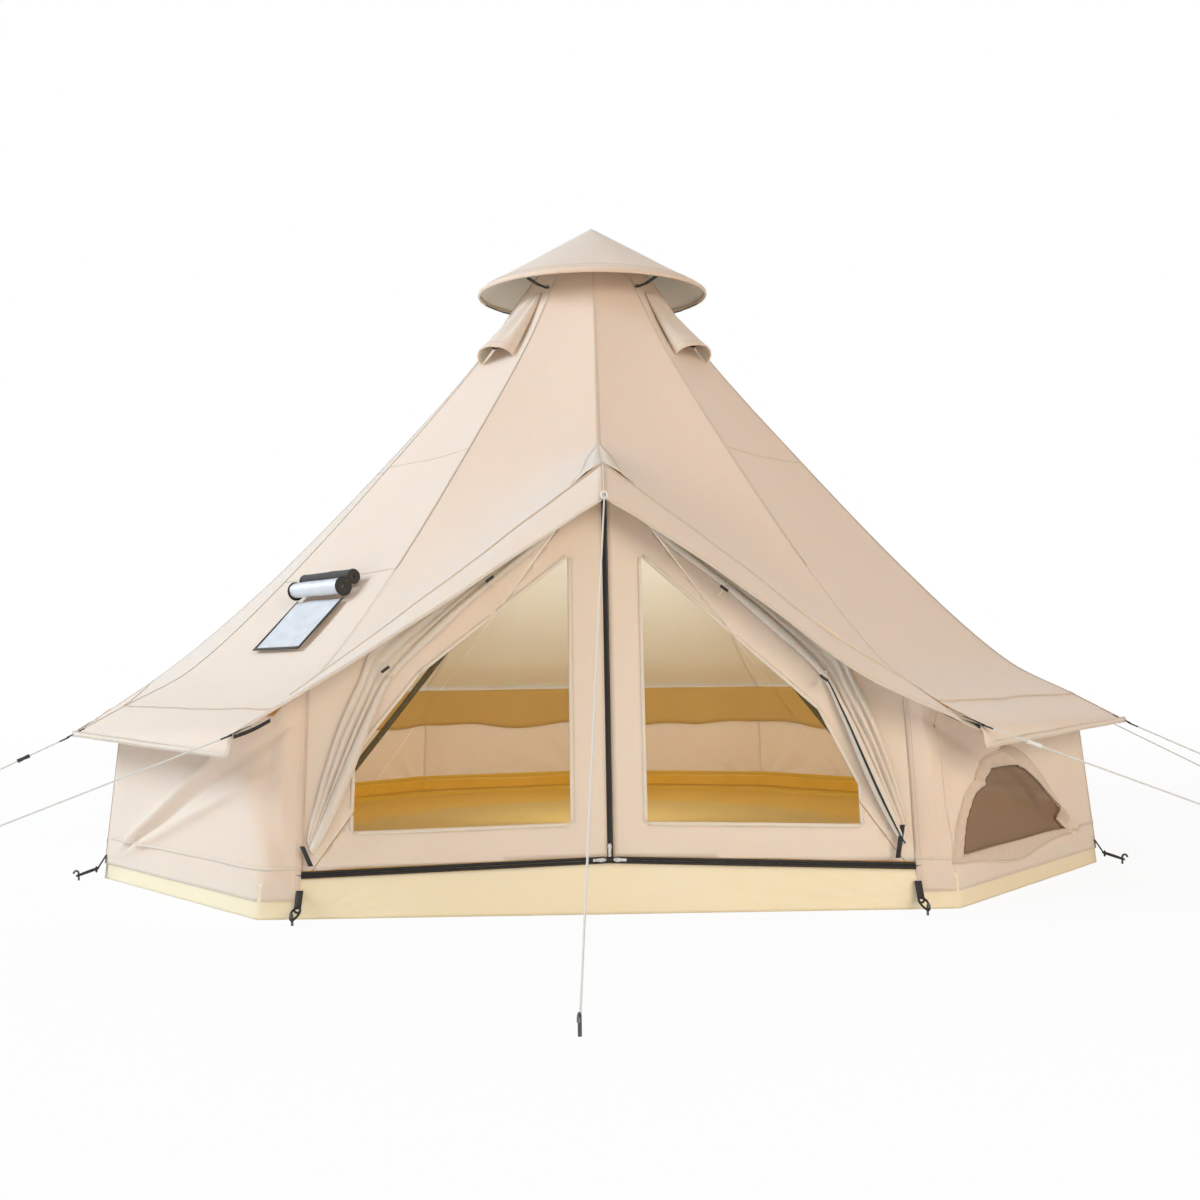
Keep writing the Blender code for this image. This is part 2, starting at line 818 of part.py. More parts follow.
def center_pole():
    """Two steel tubes, the upper one necked down into the lower, and a plug under the cap."""
    upright = (0.0, 0.0, 1.0)
    floor = canvas + fit
    r, wall = center_pole_radius, center_pole_wall
    joint, top = center_pole_joint_height, center_pole_top_height
    origin = Vector((0.0, 0.0, 0.0))
    neck = joint - center_pole_socket
    lower = rod(
        "center_pole_lower",
        [
            (0.0, floor),
            (pole_foot_radius, floor),
            (pole_foot_radius, floor + pole_foot_height),
            (r, floor + pole_foot_height),
            (r, joint),
            (r - wall, joint),
            (r - wall, floor + pole_foot_height),
            (0.0, floor + pole_foot_height),
        ],
        16,
        origin,
        upright,
    )
    spigot = r - wall - fit
    upper = rod(
        "center_pole_upper",
        [
            (0.0, neck),
            (spigot, neck),
            (spigot, joint + fit),
            (r, joint + fit),
            (r, top),
            (0.0, top),
        ],
        16,
        origin,
        upright,
    )
    cap_under = cap_apex_height - canvas * 1.4 - fit
    tip = r / 4
    slope = (cap_apex_height - cap_rim_height) / cap_radius
    plug = rod(
        "pole_top_plug",
        [
            (0.0, top + fit),
            (plug_collar_radius, top + fit),
            (plug_collar_radius, top + fit + plug_collar_height),
            (r, top + fit + plug_collar_height),
            (r, cap_under - r * slope * 2),
            (tip, cap_under - tip * slope * 2),
            (0.0, cap_under),
        ],
        16,
        origin,
        upright,
    )
    for piece, colour in ((lower, (0.5, 0.5, 0.52)), (upper, (0.5, 0.5, 0.52))):
        finish(piece, colour, 0.35, 0.9)
    finish(plug, black_webbing, 0.7)
    return lower, upper, plug


def door_pole():
    """Two straight legs and a bent elbow, whose bend lies a gap below both roof cloths."""
    bend = door_pole_bend_radius
    ridge = ridge_profile()
    seam = roof_profile(side_angle)
    row = len(ridge) - 3
    beside = at_corner(seam[row][0], side_angle, seam[row][1])
    slope = atan2(ridge[row][1] - beside.z, beside.x)
    below = (bend + door_pole_radius + door_pole_roof_gap) / cos(slope)
    centre_height = along(ridge, door_pole_line_forward) - canvas - below
    bend_centre = Vector((0.0, -door_pole_line_forward, centre_height))
    between_feet = Vector((0.0, -door_pole_foot_forward, canvas))
    rise = (bend_centre - between_feet).length
    tilt = acos(bend / hypot(door_pole_foot_side, rise)) - atan2(rise, door_pole_foot_side)
    apex = between_feet + (bend_centre - between_feet) * ((rise + bend / sin(tilt)) / rise)
    drop = bend / tan(tilt)
    legs = []
    ends = []
    for hand, word in ((-1, "left"), (1, "right")):
        foot = Vector((hand * door_pole_foot_side, -door_pole_foot_forward, canvas))
        for _ in range(3):
            line = (apex - foot).normalized()
            foot.z = canvas + fit + door_pole_foot_radius * hypot(line.x, line.y)
        length = (apex - foot).length - drop - door_pole_bend_leg - fit
        leg = rod(
            "door_pole_leg_" + word,
            [
                (0.0, 0.0),
                (door_pole_foot_radius, 0.0),
                (door_pole_foot_radius, door_pole_foot_height),
                (door_pole_radius, door_pole_foot_height),
                (door_pole_radius, length),
                (0.0, length),
            ],
            12,
            foot,
            line,
        )
        legs.append(finish(leg, (0.03, 0.03, 0.035), 0.4, 0.3))
        ends.append((foot + line * (length + fit), -line))
    path = [ends[0][0]]
    left, right = (apex + ends[i][1] * drop for i in (0, 1))
    middle_out = ((left + right) / 2 - apex).normalized()
    turn = acos(max(-1.0, min(1.0, ends[0][1].dot(middle_out))))
    centre = apex + middle_out * (drop / cos(turn))
    reach = (left - centre).length
    sweep = (left - centre).angle(right - centre)
    axis = (left - centre).cross(right - centre).normalized()
    steps = 8
    for step in range(steps + 1):
        rotated = Matrix.Rotation(sweep * step / steps, 3, axis) @ (left - centre)
        path.append(centre + rotated.normalized() * reach)
    path.append(ends[1][0])
    elbow = tube("door_pole_elbow", path, door_pole_radius)
    return legs + [finish(elbow, (0.03, 0.03, 0.035), 0.4, 0.3)]


def wall_frame(angle_from, angle_to):
    """The flat of a wall panel: origin at the foot of its first corner, across, up, out."""
    foot = at_corner(wall_outer(0.0), angle_from, 0.0)
    beside = at_corner(wall_outer(0.0), angle_to, 0.0)
    top = at_corner(wall_outer(wall_height), angle_from, wall_height)
    across = (beside - foot).normalized()
    outward = across.cross(top - foot).normalized()
    if outward.dot(foot) < 0:
        outward = -outward
    up = outward.cross(across).normalized()
    if up.z < 0:
        up = -up
    return foot, across, up, outward, (beside - foot).length


def window(wall, name, angle_from, angle_to):
    """Cuts a rounded opening in a wall panel and lays its net behind it."""
    foot, across, up, outward, width = wall_frame(angle_from, angle_to)
    outline = [(u * width, v * wall_height) for u, v in window_outline_shares]
    cutter = prism("cutter", outline, foot, across, up, outward, -overrun, overrun)
    combine(wall, cutter, "DIFFERENCE")
    centre = Vector((sum(u for u, _ in outline), sum(v for _, v in outline))) / len(outline)
    lapped = []
    for point in outline:
        spoke = Vector(point) - centre
        lapped.append(tuple(centre + spoke * (1 + window_lap / spoke.length)))
    low = -canvas - fit - net
    screen = prism(name, lapped, foot, across, up, outward, low, low + net)
    return finish(screen, (0.30, 0.22, 0.15), 0.9)


def slider(name, place, along_zip, tab_down):
    """A zip slider with its pull tab, seated on the front of the tape."""
    out = door_outward()
    beside = along_zip.cross(out).normalized()
    base = place + out * fit
    body = [(-slider_length / 2, 0.5), (0.0, 1.0), (slider_length / 2, 0.7)]
    loops = []
    for run, share in body:
        centre = base + along_zip * run
        wide = beside * slider_width / 2 * share
        tall = out * slider_thickness
        loops.append([centre - wide, centre + wide, centre + wide + tall, centre - wide + tall])
    piece = loft(name, loops)
    wide = tab_down.cross(out).normalized() * slider_tab_width / 2
    tab_low = base + out * (slider_thickness - slider_tab_thickness)
    tab = loft(
        "tab",
        [
            [
                tab_low + tab_down * run - wide,
                tab_low + tab_down * run + wide,
                tab_low + tab_down * run + wide + out * slider_tab_thickness * 1.5,
                tab_low + tab_down * run - wide + out * slider_tab_thickness * 1.5,
            ]
            for run in (0.0, slider_tab_length)
        ],
    )
    combine(piece, tab, "UNION")
    return finish(piece, (0.75, 0.75, 0.76), 0.3, 0.9)


def edge_middle(profile, angle):
    """The middle of a sheet's lower edge, where its outer profile ends on this seam."""
    under = offset_profile(profile, canvas)
    tips = [at_corner(radius, angle, height) for radius, height in (profile[-1], under[-1])]
    return (tips[0] + tips[1]) / 2


def skirt_tip(angle):
    return edge_middle(roof_profile(angle), angle)


def hem_corner(hand):
    """Just above the corner where the door's hem meets the skirt."""
    radius, height = roof_profile(side_angle)[-2]
    return at_corner(radius, hand * side_angle, height + rope_radius + fit)


def hook_peg(name, ground, back_to, radius, height, hook):
    """A bent steel peg that stands out of the ground, its hook turned away from the rope."""
    away = (ground - Vector((back_to.x, back_to.y, 0.0))).normalized()
    path = [ground, ground + Vector((0.0, 0.0, height - hook))]
    for step in range(1, 6):
        turn = pi * step / 5
        side = away * hook * (1 - cos(turn))
        path.append(ground + side + Vector((0.0, 0.0, height - hook + hook * sin(turn))))
    return finish(tube(name, path, radius), (0.05, 0.05, 0.05), 0.5, 0.7)


def guy(word, start, ground):
    """A taut rope from its start to just in front of its peg, as points, and the peg."""
    hook_peg("guy_peg_" + word, ground, start, guy_peg_radius, guy_peg_height, guy_peg_hook)
    tie = ground + Vector((0.0, 0.0, guy_tie_height))
    line = (tie - start).normalized()
    level = hypot(line.x, line.y)
    end = tie - line * ((guy_peg_radius + fit + rope_radius * abs(line.z)) / level)
    begin = start + line * fit
    steps = rope_points - 1
    path = [begin + (end - begin) * step / steps for step in range(rope_points)]
    rope = tube("guy_rope_" + word, path, rope_radius, 2)
    finish(rope, white_cord, 0.8)
    return begin, end


def runner(word, begin, end, colour):
    """A short sleeve that grips its rope and slides along it to tighten it."""
    line = (end - begin).normalized()
    bore = rope_radius + runner_clearance
    waist = runner_radius * 0.8
    profile = [
        (bore, 0.0),
        (runner_radius, 0.0),
        (waist, runner_length / 2),
        (runner_radius, runner_length),
        (bore, runner_length),
    ]
    piece = turned("runner_" + word, profile, 10, begin + line * runner_place, line)
    return finish(piece, colour, 0.5)


def base_peg(name, corner, away):
    """The elastic loop and hooked peg that hold a corner of the groundsheet down."""
    start = corner + away * fit
    rise = Vector((0.0, 0.0, base_peg_radius))
    top = corner + away * base_peg_reach + Vector((0.0, 0.0, base_peg_height))
    path = [
        start + rise * 1.2,
        corner + away * base_peg_reach * 0.3 + rise * 1.4,
        corner + away * base_peg_reach * 0.7 + rise * 3.0,
        top,
        corner + away * base_peg_reach * 1.18 + Vector((0.0, 0.0, base_peg_height * 0.8)),
        corner + away * base_peg_reach * 1.25 + rise * 1.2,
    ]
    return finish(tube(name, path, base_peg_radius), black_webbing, 0.6)


def build():
    clear_scene()
    groundsheet()
    for hand, word in ((-1, "left"), (1, "right")):
        turn = hand * side_angle
        door_roof_sheet("roof_door_" + word, hand)
        roof_sheet("roof_front_" + word, (turn, 2 * turn))
        roof_sheet("roof_side_" + word, (2 * turn, 3 * turn, 4 * turn))
        roof_sheet("roof_rear_" + word, (4 * turn, 5 * turn, 6 * turn))
        front = finish(sheet("wall_front_" + word, *front_wall_columns(hand)), canvas_sand)
        walls = {}
        for part, turns in (("side", (2, 3, 4)), ("rear", (4, 5, 6))):
            outer, inner = [], []
            for corner in turns:
                rows = wall_rows(corner * turn)
                outer.append([at_corner(row[0], corner * turn, row[1]) for row in rows])
                inner.append([at_corner(row[2], corner * turn, row[3]) for row in rows])
            walls[part] = finish(sheet(f"wall_{part}_{word}", outer, inner), canvas_sand)
        if hand > 0:
            window(front, "window_front_right", turn, 2 * turn)
        window(walls["side"], "window_side_" + word, 3 * turn, 4 * turn)
        screens(hand, word)
        door_flap(hand, word)
        vent_hood("vent_front_" + word, 1.5 * turn)
        vent_hood("vent_rear_" + word, (sides / 2 - 1.5) * turn)
        foot = door_point(hand * door_half_width, 0.0)
        base_peg("base_peg_door_" + word, foot, Vector((0.0, -1.0, 0.0)))
        corner = at_corner(base_radius, 2 * turn, 0.0)
        base_peg("base_peg_side_" + word, corner, at_corner(1.0, 2 * turn, 0.0))
    crown_plate()
    rain_cap()
    center_pole()
    door_pole()
    stove_jack()
    sill_zip()
    middle = door_point(0.0, sill_top(0.0) + zip_width + leaf_bottom_gap + slider_length)
    slider("door_zip_slider", middle, door_up(), -door_up())
    for hand, word in ((-1, "left"), (1, "right")):
        side = hand * slider_length
        place = door_point(side, sill_top(side) + (zip_width + fit) / 2)
        run = door_point(hand * door_half_width, sill_top(door_half_width)) - door_point(
            0.0, sill_top(0.0)
        )
        slider("sill_zip_slider_" + word, place, run.normalized(), run.normalized())
    eyelet = edge_middle(ridge_profile(), 0.0) + Vector((0.0, -rope_radius / 2, -rope_radius / 2))
    guy("front", eyelet, Vector((front_peg_side, -front_peg_forward, 0.0)))
    for hand, word in ((-1, "left"), (1, "right")):
        corner_ground = Vector((hand * corner_peg_side, -corner_peg_forward, 0.0))
        begin, end = guy("corner_" + word, hem_corner(hand), corner_ground)
        if hand > 0:
            runner("corner_right", begin, end, white_cord)
        turn = hand * 2 * side_angle
        begin, end = guy("side_" + word, skirt_tip(turn), at_corner(side_peg_radius, turn, 0.0))
        if hand < 0:
            runner("side_left", begin, end, black_webbing)
    turn = 3 * side_angle
    guy("rear_right", skirt_tip(turn), at_corner(side_peg_radius, turn, 0.0))


build()
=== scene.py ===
import bmesh
import bpy
from math import atan2, ceil, cos, exp, hypot, pi, radians, sin
from mathutils import Matrix, Vector, noise


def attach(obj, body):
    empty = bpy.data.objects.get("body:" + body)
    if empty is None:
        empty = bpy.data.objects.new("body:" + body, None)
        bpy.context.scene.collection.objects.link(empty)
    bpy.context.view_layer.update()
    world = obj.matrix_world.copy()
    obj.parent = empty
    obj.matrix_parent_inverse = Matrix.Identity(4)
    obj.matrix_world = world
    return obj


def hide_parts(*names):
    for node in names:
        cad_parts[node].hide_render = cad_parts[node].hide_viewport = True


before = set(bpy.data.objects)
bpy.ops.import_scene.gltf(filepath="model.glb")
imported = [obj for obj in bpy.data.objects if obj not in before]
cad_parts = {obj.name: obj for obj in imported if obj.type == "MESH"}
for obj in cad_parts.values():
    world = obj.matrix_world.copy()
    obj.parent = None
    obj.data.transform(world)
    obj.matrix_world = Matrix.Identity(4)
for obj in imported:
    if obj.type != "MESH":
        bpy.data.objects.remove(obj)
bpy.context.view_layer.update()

# Viewpoint and studio
# The camera stands low in front of the door, as in the photo. A white floor, a pale sky and three
# soft lamps, the strongest one on the left, light the cloth at a plain level. Two lamps inside
# stand in for the daylight that comes through the canvas.
turn, roll = radians(1.0), radians(0.74)
ahead = Vector((sin(turn), cos(turn), 0.0))
level = Vector((cos(turn), -sin(turn), 0.0))
upright = Vector((0.0, 0.0, 1.0))
camera_right = level * cos(roll) - upright * sin(roll)
camera_up = upright * cos(roll) + level * sin(roll)


def link(name, data):
    data.name = name
    obj = bpy.data.objects.new(name, data)
    bpy.context.scene.collection.objects.link(obj)
    return obj


lens = bpy.data.cameras.new("viewpoint")
lens.lens = 33.9
lens.sensor_width = 36.0
lens.shift_x = 0.0025
lens.shift_y = 0.0625
lens.clip_end = 200.0
camera = link("viewpoint", lens)
camera_turn = Matrix((camera_right, camera_up, -ahead)).transposed().to_4x4()
camera.matrix_world = Matrix.Translation((-0.0862, -4.939, 0.68)) @ camera_turn
bpy.context.scene.camera = camera
bpy.context.scene.view_settings.view_transform = "Standard"

for name, place, aim, size, power, colour in (
    ("window_light", (-9.2, -2.0, 5.8), (0.0, 0.0, 1.0), 5.0, 770.0, (0.77, 0.89, 1.0)),
    ("front_light", (3.6, -8.6, 3.2), (0.0, 0.0, 0.8), 5.0, 320.0, (1.0, 0.84, 0.67)),
    ("back_light", (4.0, 8.0, 7.0), (0.0, 0.0, 1.0), 6.0, 200.0, (1.0, 0.97, 0.93)),
    ("daylight_on_rear_wall", (0.0, 0.35, 0.62), (0.0, 2.0, 0.30), 1.2, 5.0, (0.72, 0.90, 1.0)),
    ("daylight_through_cloth", (0.1, 0.15, 0.95), None, 0.5, 30.0, (0.89, 0.95, 1.0)),
):
    light = bpy.data.lights.new(name, "AREA" if aim else "POINT")
    if aim:
        light.shape = "DISK"
        light.size = size
    else:
        light.shadow_soft_size = size
    light.energy = power
    light.color = colour
    lamp = link(name, light)
    lamp.matrix_world = Matrix.Translation(place)
    if aim:
        direction = Vector(aim) - Vector(place)
        lamp.matrix_world @= direction.to_track_quat("-Z", "Y").to_matrix().to_4x4()
    if name.startswith("daylight"):
        lamp.visible_camera = False


class Wire:
    """A shader socket. Arithmetic on it adds Math nodes to its tree."""

    def __init__(self, tree, socket):
        self.tree = tree
        self.socket = socket

    def _with(self, operation, first, second=None):
        step = self.tree.nodes.new("ShaderNodeMath")
        step.operation = operation
        for place, value in enumerate((first, second)):
            if isinstance(value, Wire):
                self.tree.links.new(value.socket, step.inputs[place])
            elif value is not None:
                step.inputs[place].default_value = value
        return Wire(self.tree, step.outputs[0])

    def __add__(self, other):
        return self._with("ADD", self, other)

    def __radd__(self, other):
        return self._with("ADD", other, self)

    def __sub__(self, other):
        return self._with("SUBTRACT", self, other)

    def __mul__(self, other):
        return self._with("MULTIPLY", self, other)

    def __rmul__(self, other):
        return self._with("MULTIPLY", other, self)

    def __truediv__(self, other):
        return self._with("DIVIDE", self, other)

    def __gt__(self, other):
        return self._with("GREATER_THAN", self, other)

    def sine(self):
        return self._with("SINE", self)

    def size(self):
        return self._with("ABSOLUTE", self)


class Finish:
    """A material in the making: one Principled shader, and the nodes that feed it."""

    def __init__(self, name, **plain):
        self.material = bpy.data.materials.new(name)
        self.material.use_nodes = True
        self.tree = self.material.node_tree
        self.shader = self.tree.nodes["Principled BSDF"]
        for socket, value in plain.items():
            self.shader.inputs[socket.replace("_", " ")].default_value = value

    def node(self, kind, settings=None, inputs=None, output=0):
        made = self.tree.nodes.new("ShaderNode" + kind)
        for key, value in (settings or {}).items():
            setattr(made, key, value)
        for key, value in (inputs or {}).items():
            if isinstance(value, Wire):
                self.tree.links.new(value.socket, made.inputs[key])
            else:
                made.inputs[key].default_value = value
        return Wire(self.tree, made.outputs[output])

    def place(self):
        return self.node("TexCoord", None, None, 3)

    def noise(self, where, scale, detail=2.0, rough=0.5):
        values = {"Vector": where, "Scale": scale, "Detail": detail, "Roughness": rough}
        return self.node("TexNoise", None, values)

    def stretched_noise(self, where, stretch, detail):
        return self.noise(self.node("Mapping", None, {"Vector": where, "Scale": stretch}), 1.0, detail)

    def weave_ways(self):
        """The cut of the cloth in metres, and its two thread directions."""
        cut = self.node("UVMap", {"uv_map": "cut"})
        parts = [self.node("SeparateXYZ", None, {"Vector": cut}, way) for way in (0, 1)]
        return cut, *parts

    def mix(self, share, first, second):
        colours = [c if isinstance(c, Wire) else (*c, 1.0) for c in (first, second)]
        return self.node("Mix", {"data_type": "RGBA"}, {0: share, 6: colours[0], 7: colours[1]}, 2)

    def translucent(self, weight, radius, scale):
        """Light passes through the cloth, and spreads in it."""
        for socket, value in (("Weight", weight), ("Radius", radius), ("Scale", scale)):
            self.shader.inputs["Subsurface " + socket].default_value = value

    def feed(self, socket, wire):
        self.tree.links.new(wire.socket, self.shader.inputs[socket])

    def bump(self, height, strength, distance):
        values = {"Height": height, "Strength": strength, "Distance": distance}
        self.feed("Normal", self.node("Bump", None, values))


def grained(name, scale, detail, dark, light, bump=None, rough=None, **plain):
    """A plain material whose tone wanders between two colours."""
    finish = Finish(name, **plain)
    grain = finish.noise(finish.place(), scale, detail)
    finish.feed("Base Color", finish.mix(grain, dark, light))
    if rough:
        finish.feed("Roughness", rough[0] + grain * rough[1])
    if bump:
        finish.bump(grain, *bump)
    return finish.material


def dress(finish, *names):
    """Gives nodes of the frame that show as they are their own material."""
    for name in names:
        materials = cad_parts[name].data.materials
        materials.clear()
        materials.append(finish)


floor_reach = 40
floor_mesh = bpy.data.meshes.new("studio_floor")
floor_corners = ((-1, -1), (1, -1), (1, 1), (-1, 1))
floor_mesh.from_pydata(
    [(x * floor_reach, y * floor_reach, -0.001) for x, y in floor_corners], [], [(0, 1, 2, 3)]
)
link("studio_floor", floor_mesh)
paper = Finish("studio_paper", Base_Color=(0.86, 0.86, 0.86, 1.0), Roughness=1.0)
glow = paper.node("Emission", None, {"Color": (1.0, 1.0, 1.0, 1.0), "Strength": 1.0})
reach = paper.node("VectorMath", {"operation": "LENGTH"}, {0: paper.place()}, 1)
far = paper.node("Math", {"operation": "MINIMUM"}, {0: reach / 11.0, 1: 1.0})
seen = paper.node("LightPath") * (0.90 + 0.10 * far)
surface = paper.node("MixShader", None, {0: seen, 1: Wire(paper.tree, paper.shader.outputs[0]), 2: glow})
output = next(n for n in paper.tree.nodes if n.type == "OUTPUT_MATERIAL")
paper.tree.links.new(surface.socket, output.inputs["Surface"])
floor_mesh.materials.append(paper.material)

sky_seen, sky_light = 1.0, 0.40
sky = bpy.data.worlds.new("studio_sky")
sky.use_nodes = True
bpy.context.scene.world = sky
sky_tree = sky.node_tree
background = sky_tree.nodes["Background"]
background.inputs["Color"].default_value = (1.0, 1.0, 1.0, 1.0)
light_path = sky_tree.nodes.new("ShaderNodeLightPath")
plain_sky = sky_tree.nodes.new("ShaderNodeMath")
plain_sky.operation = "MULTIPLY_ADD"
plain_sky.inputs[1].default_value = sky_seen - sky_light
plain_sky.inputs[2].default_value = sky_light
sky_tree.links.new(light_path.outputs["Is Camera Ray"], plain_sky.inputs[0])
sky_tree.links.new(plain_sky.outputs[0], background.inputs["Strength"])

# Guy ropes, pegs and runners
# Six white braided ropes, 5 mm thick, run straight from the canvas to hooked steel pegs. The peg's
# hook holds a spliced eye. A runner on two of them tightens the rope.
rope_finish = Finish("white_braid", Roughness=0.8)
braid = rope_finish.node(
    "TexWave",
    {"wave_type": "BANDS", "bands_direction": "DIAGONAL"},
    {"Vector": rope_finish.place(), "Scale": 160.0, "Distortion": 1.2, "Detail": 1.0},
    1,
)
rope_finish.feed("Base Color", rope_finish.mix(braid, (0.62, 0.61, 0.58), (0.86, 0.85, 0.82)))
rope_finish.bump(braid, 0.6, 0.0006)
steel = grained(
    "peg_steel", 90.0, 5.0, (0.05, 0.05, 0.05), (0.20, 0.20, 0.21), None, (0.25, 0.4), Metallic=0.85
)
moulded = {
    shade: grained(shade + "_moulded_plastic", 260.0, 3.0, dark, light, (0.15, 0.0003), Roughness=0.45)
    for shade, dark, light in (
        ("white", (0.70, 0.70, 0.68), (0.84, 0.84, 0.82)),
        ("black", (0.012, 0.012, 0.012), (0.05, 0.05, 0.05)),
    )
}
rope_radius, rope_steps = 0.0025, 23
runners = {"corner_right": "white", "side_left": "black"}
rope_ends = {
    "front": ((0.0, -1.6005, 1.2004), (-0.0895, -2.8039, 0.028)),
    "corner_left": ((-1.0376, -1.7966, 0.5291), (-2.3547, -1.8996, 0.024)),
    "corner_right": ((1.0376, -1.7966, 0.5291), (2.3547, -1.8996, 0.024)),
    "side_left": ((-1.8183, -1.0498, 0.4936), (-2.6799, -1.5473, 0.0246)),
    "side_right": ((1.8183, -1.0498, 0.4936), (2.6799, -1.5473, 0.0246)),
    "rear_right": ((2.0995, 0.0, 0.5236), (3.0945, 0.0, 0.0248)),
}
for word, (start, end) in rope_ends.items():
    start, end = Vector(start), Vector(end)
    curve = bpy.data.curves.new("rope_" + word, "CURVE")
    curve.dimensions = "3D"
    curve.bevel_depth = rope_radius
    curve.bevel_resolution = 3
    curve.use_fill_caps = True
    line = curve.splines.new("POLY")
    line.points.add(rope_steps)
    for step, knot in enumerate(line.points):
        knot.co = (*(start + (end - start) * step / rope_steps), 1.0)
    rope = link("rope_" + word, curve)
    curve.materials.append(rope_finish.material)
    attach(rope, "tent")
    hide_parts("guy_rope_" + word)
    dress(steel, "guy_peg_" + word)
    if word in runners:
        dress(moulded[runners[word]], "runner_" + word)
    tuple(start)
    (end - start).length

# Groundsheet
# A tray of coated cloth, welded at its corners, whose rim stands up inside the walls. In front it
# rises to the sill of the door, where it is drawn tight between the two feet and creases.
hands = ((-1, "left"), (1, "right"))
tray_radius, tray_front = 2.0, 1.7321
door_lean, door_half = 0.204, 0.88
sill_mid, sill_drop = 0.14, 0.03
wall_radius, wall_in = 2.0034, 0.1186
half_side = sin(radians(15))


def door(side, height, forward=0.0):
    """A point on the leaning plane of the door, or in front of it."""
    return Vector((side, -(tray_front - door_lean * height) - forward, height))


def ring(radius, degrees, height):
    return Vector((radius * sin(radians(degrees)), -radius * cos(radians(degrees)), height))


def outwards(point):
    return Vector((point.x, point.y, 0.0)).normalized()


def ripple(x, y, seed, stretch=1.0):
    """Smooth noise from -1 to 1, about one unit long across and stretch units long down."""
    return noise.noise(Vector((x, y / stretch, seed * 7.31)))


def grid(down, across, spot):
    """Rows of points, by their shares of the way down and across."""
    return [[spot(row / down, column / across) for column in range(across + 1)] for row in range(down + 1)]


def hoop(centre, first, second, steps):
    """A closed round of points, from two half axes."""
    turns = [2 * pi * k / steps for k in range(steps + 1)]
    return [centre + first * cos(angle) + second * sin(angle) for angle in turns]


def make_mesh(points, faces, uvs=None):
    mesh = bpy.data.meshes.new("cloth")
    mesh.from_pydata(points, [], faces)
    if uvs:
        layer = mesh.uv_layers.new(name="cut")
        for loop in mesh.loops:
            layer.data[loop.index].uv = uvs[loop.vertex_index]
    mesh.shade_smooth()
    return mesh


def rework(mesh, work):
    """Runs a bmesh operation on a mesh."""
    shell = bmesh.new()
    shell.from_mesh(mesh)
    work(shell)
    shell.to_mesh(mesh)
    shell.free()
    mesh.shade_smooth()


def grid_mesh(rows, closed=False):
    """A sheet through rows of points, with its size in metres as its UV map."""
    wide = len(rows[0])
    points, uvs, faces = [], [], []
    down = 0.0
    for index, row in enumerate(rows):
        if index:
            down += (row[wide // 2] - rows[index - 1][wide // 2]).length
        run = 0.0
        for column, point in enumerate(row):
            if column:
                run += (point - row[column - 1]).length
            points.append(point)
            uvs.append((run, down))
    for index in range(len(rows) - 1):
        for column in range(wide if closed else wide - 1):
            beside = (column + 1) % wide
            here, there = index * wide, (index + 1) * wide
            faces.append((here + column, there + column, there + beside, here + beside))
    return make_mesh(points, faces, uvs)


def face_away(mesh, inside):
    """Turns an open sheet so that its faces look away from a point, or from the axis at a height."""
    if not isinstance(inside, Vector):
        inside = Vector((0, 0, inside))
    if sum(face.normal.dot(face.center - inside) * face.area for face in mesh.polygons) < 0:
        mesh.flip_normals()


painted_inner_faces = {}


def piece(name, mesh, finish, slot, body="tent", thick=0.0, offset=-1.0):
    """A visible piece. Cloth that is thickened inwards shows, inside, its inner face's colour if it has one,
    which is painted light and shade of the tent's inside.
    """
    obj = link(name, mesh)
    mesh.materials.append(finish)
    if thick:
        wall = obj.modifiers.new("thickness", "SOLIDIFY")
        wall.thickness = thick
        wall.offset = offset
        if finish.name in painted_inner_faces and offset < 0:
            mesh.materials.append(painted_inner_faces[finish.name])
            wall.material_offset = 1
    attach(obj, body)
    return obj


def hang(
    name, cut, inside, finish, slot, stands_for=None, flat=None, thick=0.0012, body="tent"
):
    """A cloth of rows of points or of a mesh, with its size when laid flat."""
    mesh = grid_mesh(cut) if isinstance(cut, list) else cut
    face_away(mesh, inside)
    obj = piece(name, mesh, finish, slot, body, thick)
    if stands_for:
        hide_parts(stands_for)
    area = sum(face.area for face in mesh.polygons)
    if flat is None:
        corners = [layer.uv for layer in mesh.uv_layers[0].data]
        flat = [max(max(uv[way] for uv in corners), 0.05) for way in (0, 1)]
    if len(flat) == 1:
        flat = (flat[0], area / flat[0])
    share = area / (flat[0] * flat[1])
    round(area, 4) if 0.3 < share < 1.0 else None


sheet_finish = Finish("coated_floor_cloth", Roughness=0.5, Sheen_Weight=0.15)
sheet_finish.translucent(0.3, (1.0, 0.65, 0.25), 0.004)
where = sheet_finish.place()
clouds = sheet_finish.noise(where, 2.2, 5.0)
scrim = sheet_finish.noise(where, 420.0)
crush = sheet_finish.noise(where, 9.0, 6.0, 0.6)
coat_colour = sheet_finish.mix(clouds, (0.90, 0.76, 0.52), (0.95, 0.83, 0.63))
sheet_finish.feed("Base Color", sheet_finish.mix(crush * 0.12, coat_colour, (0.74, 0.56, 0.30)))
sheet_finish.feed("Roughness", 0.42 + crush * 0.2)
sheet_finish.bump(crush * 0.8 + scrim * 0.08, 0.35, 0.004)
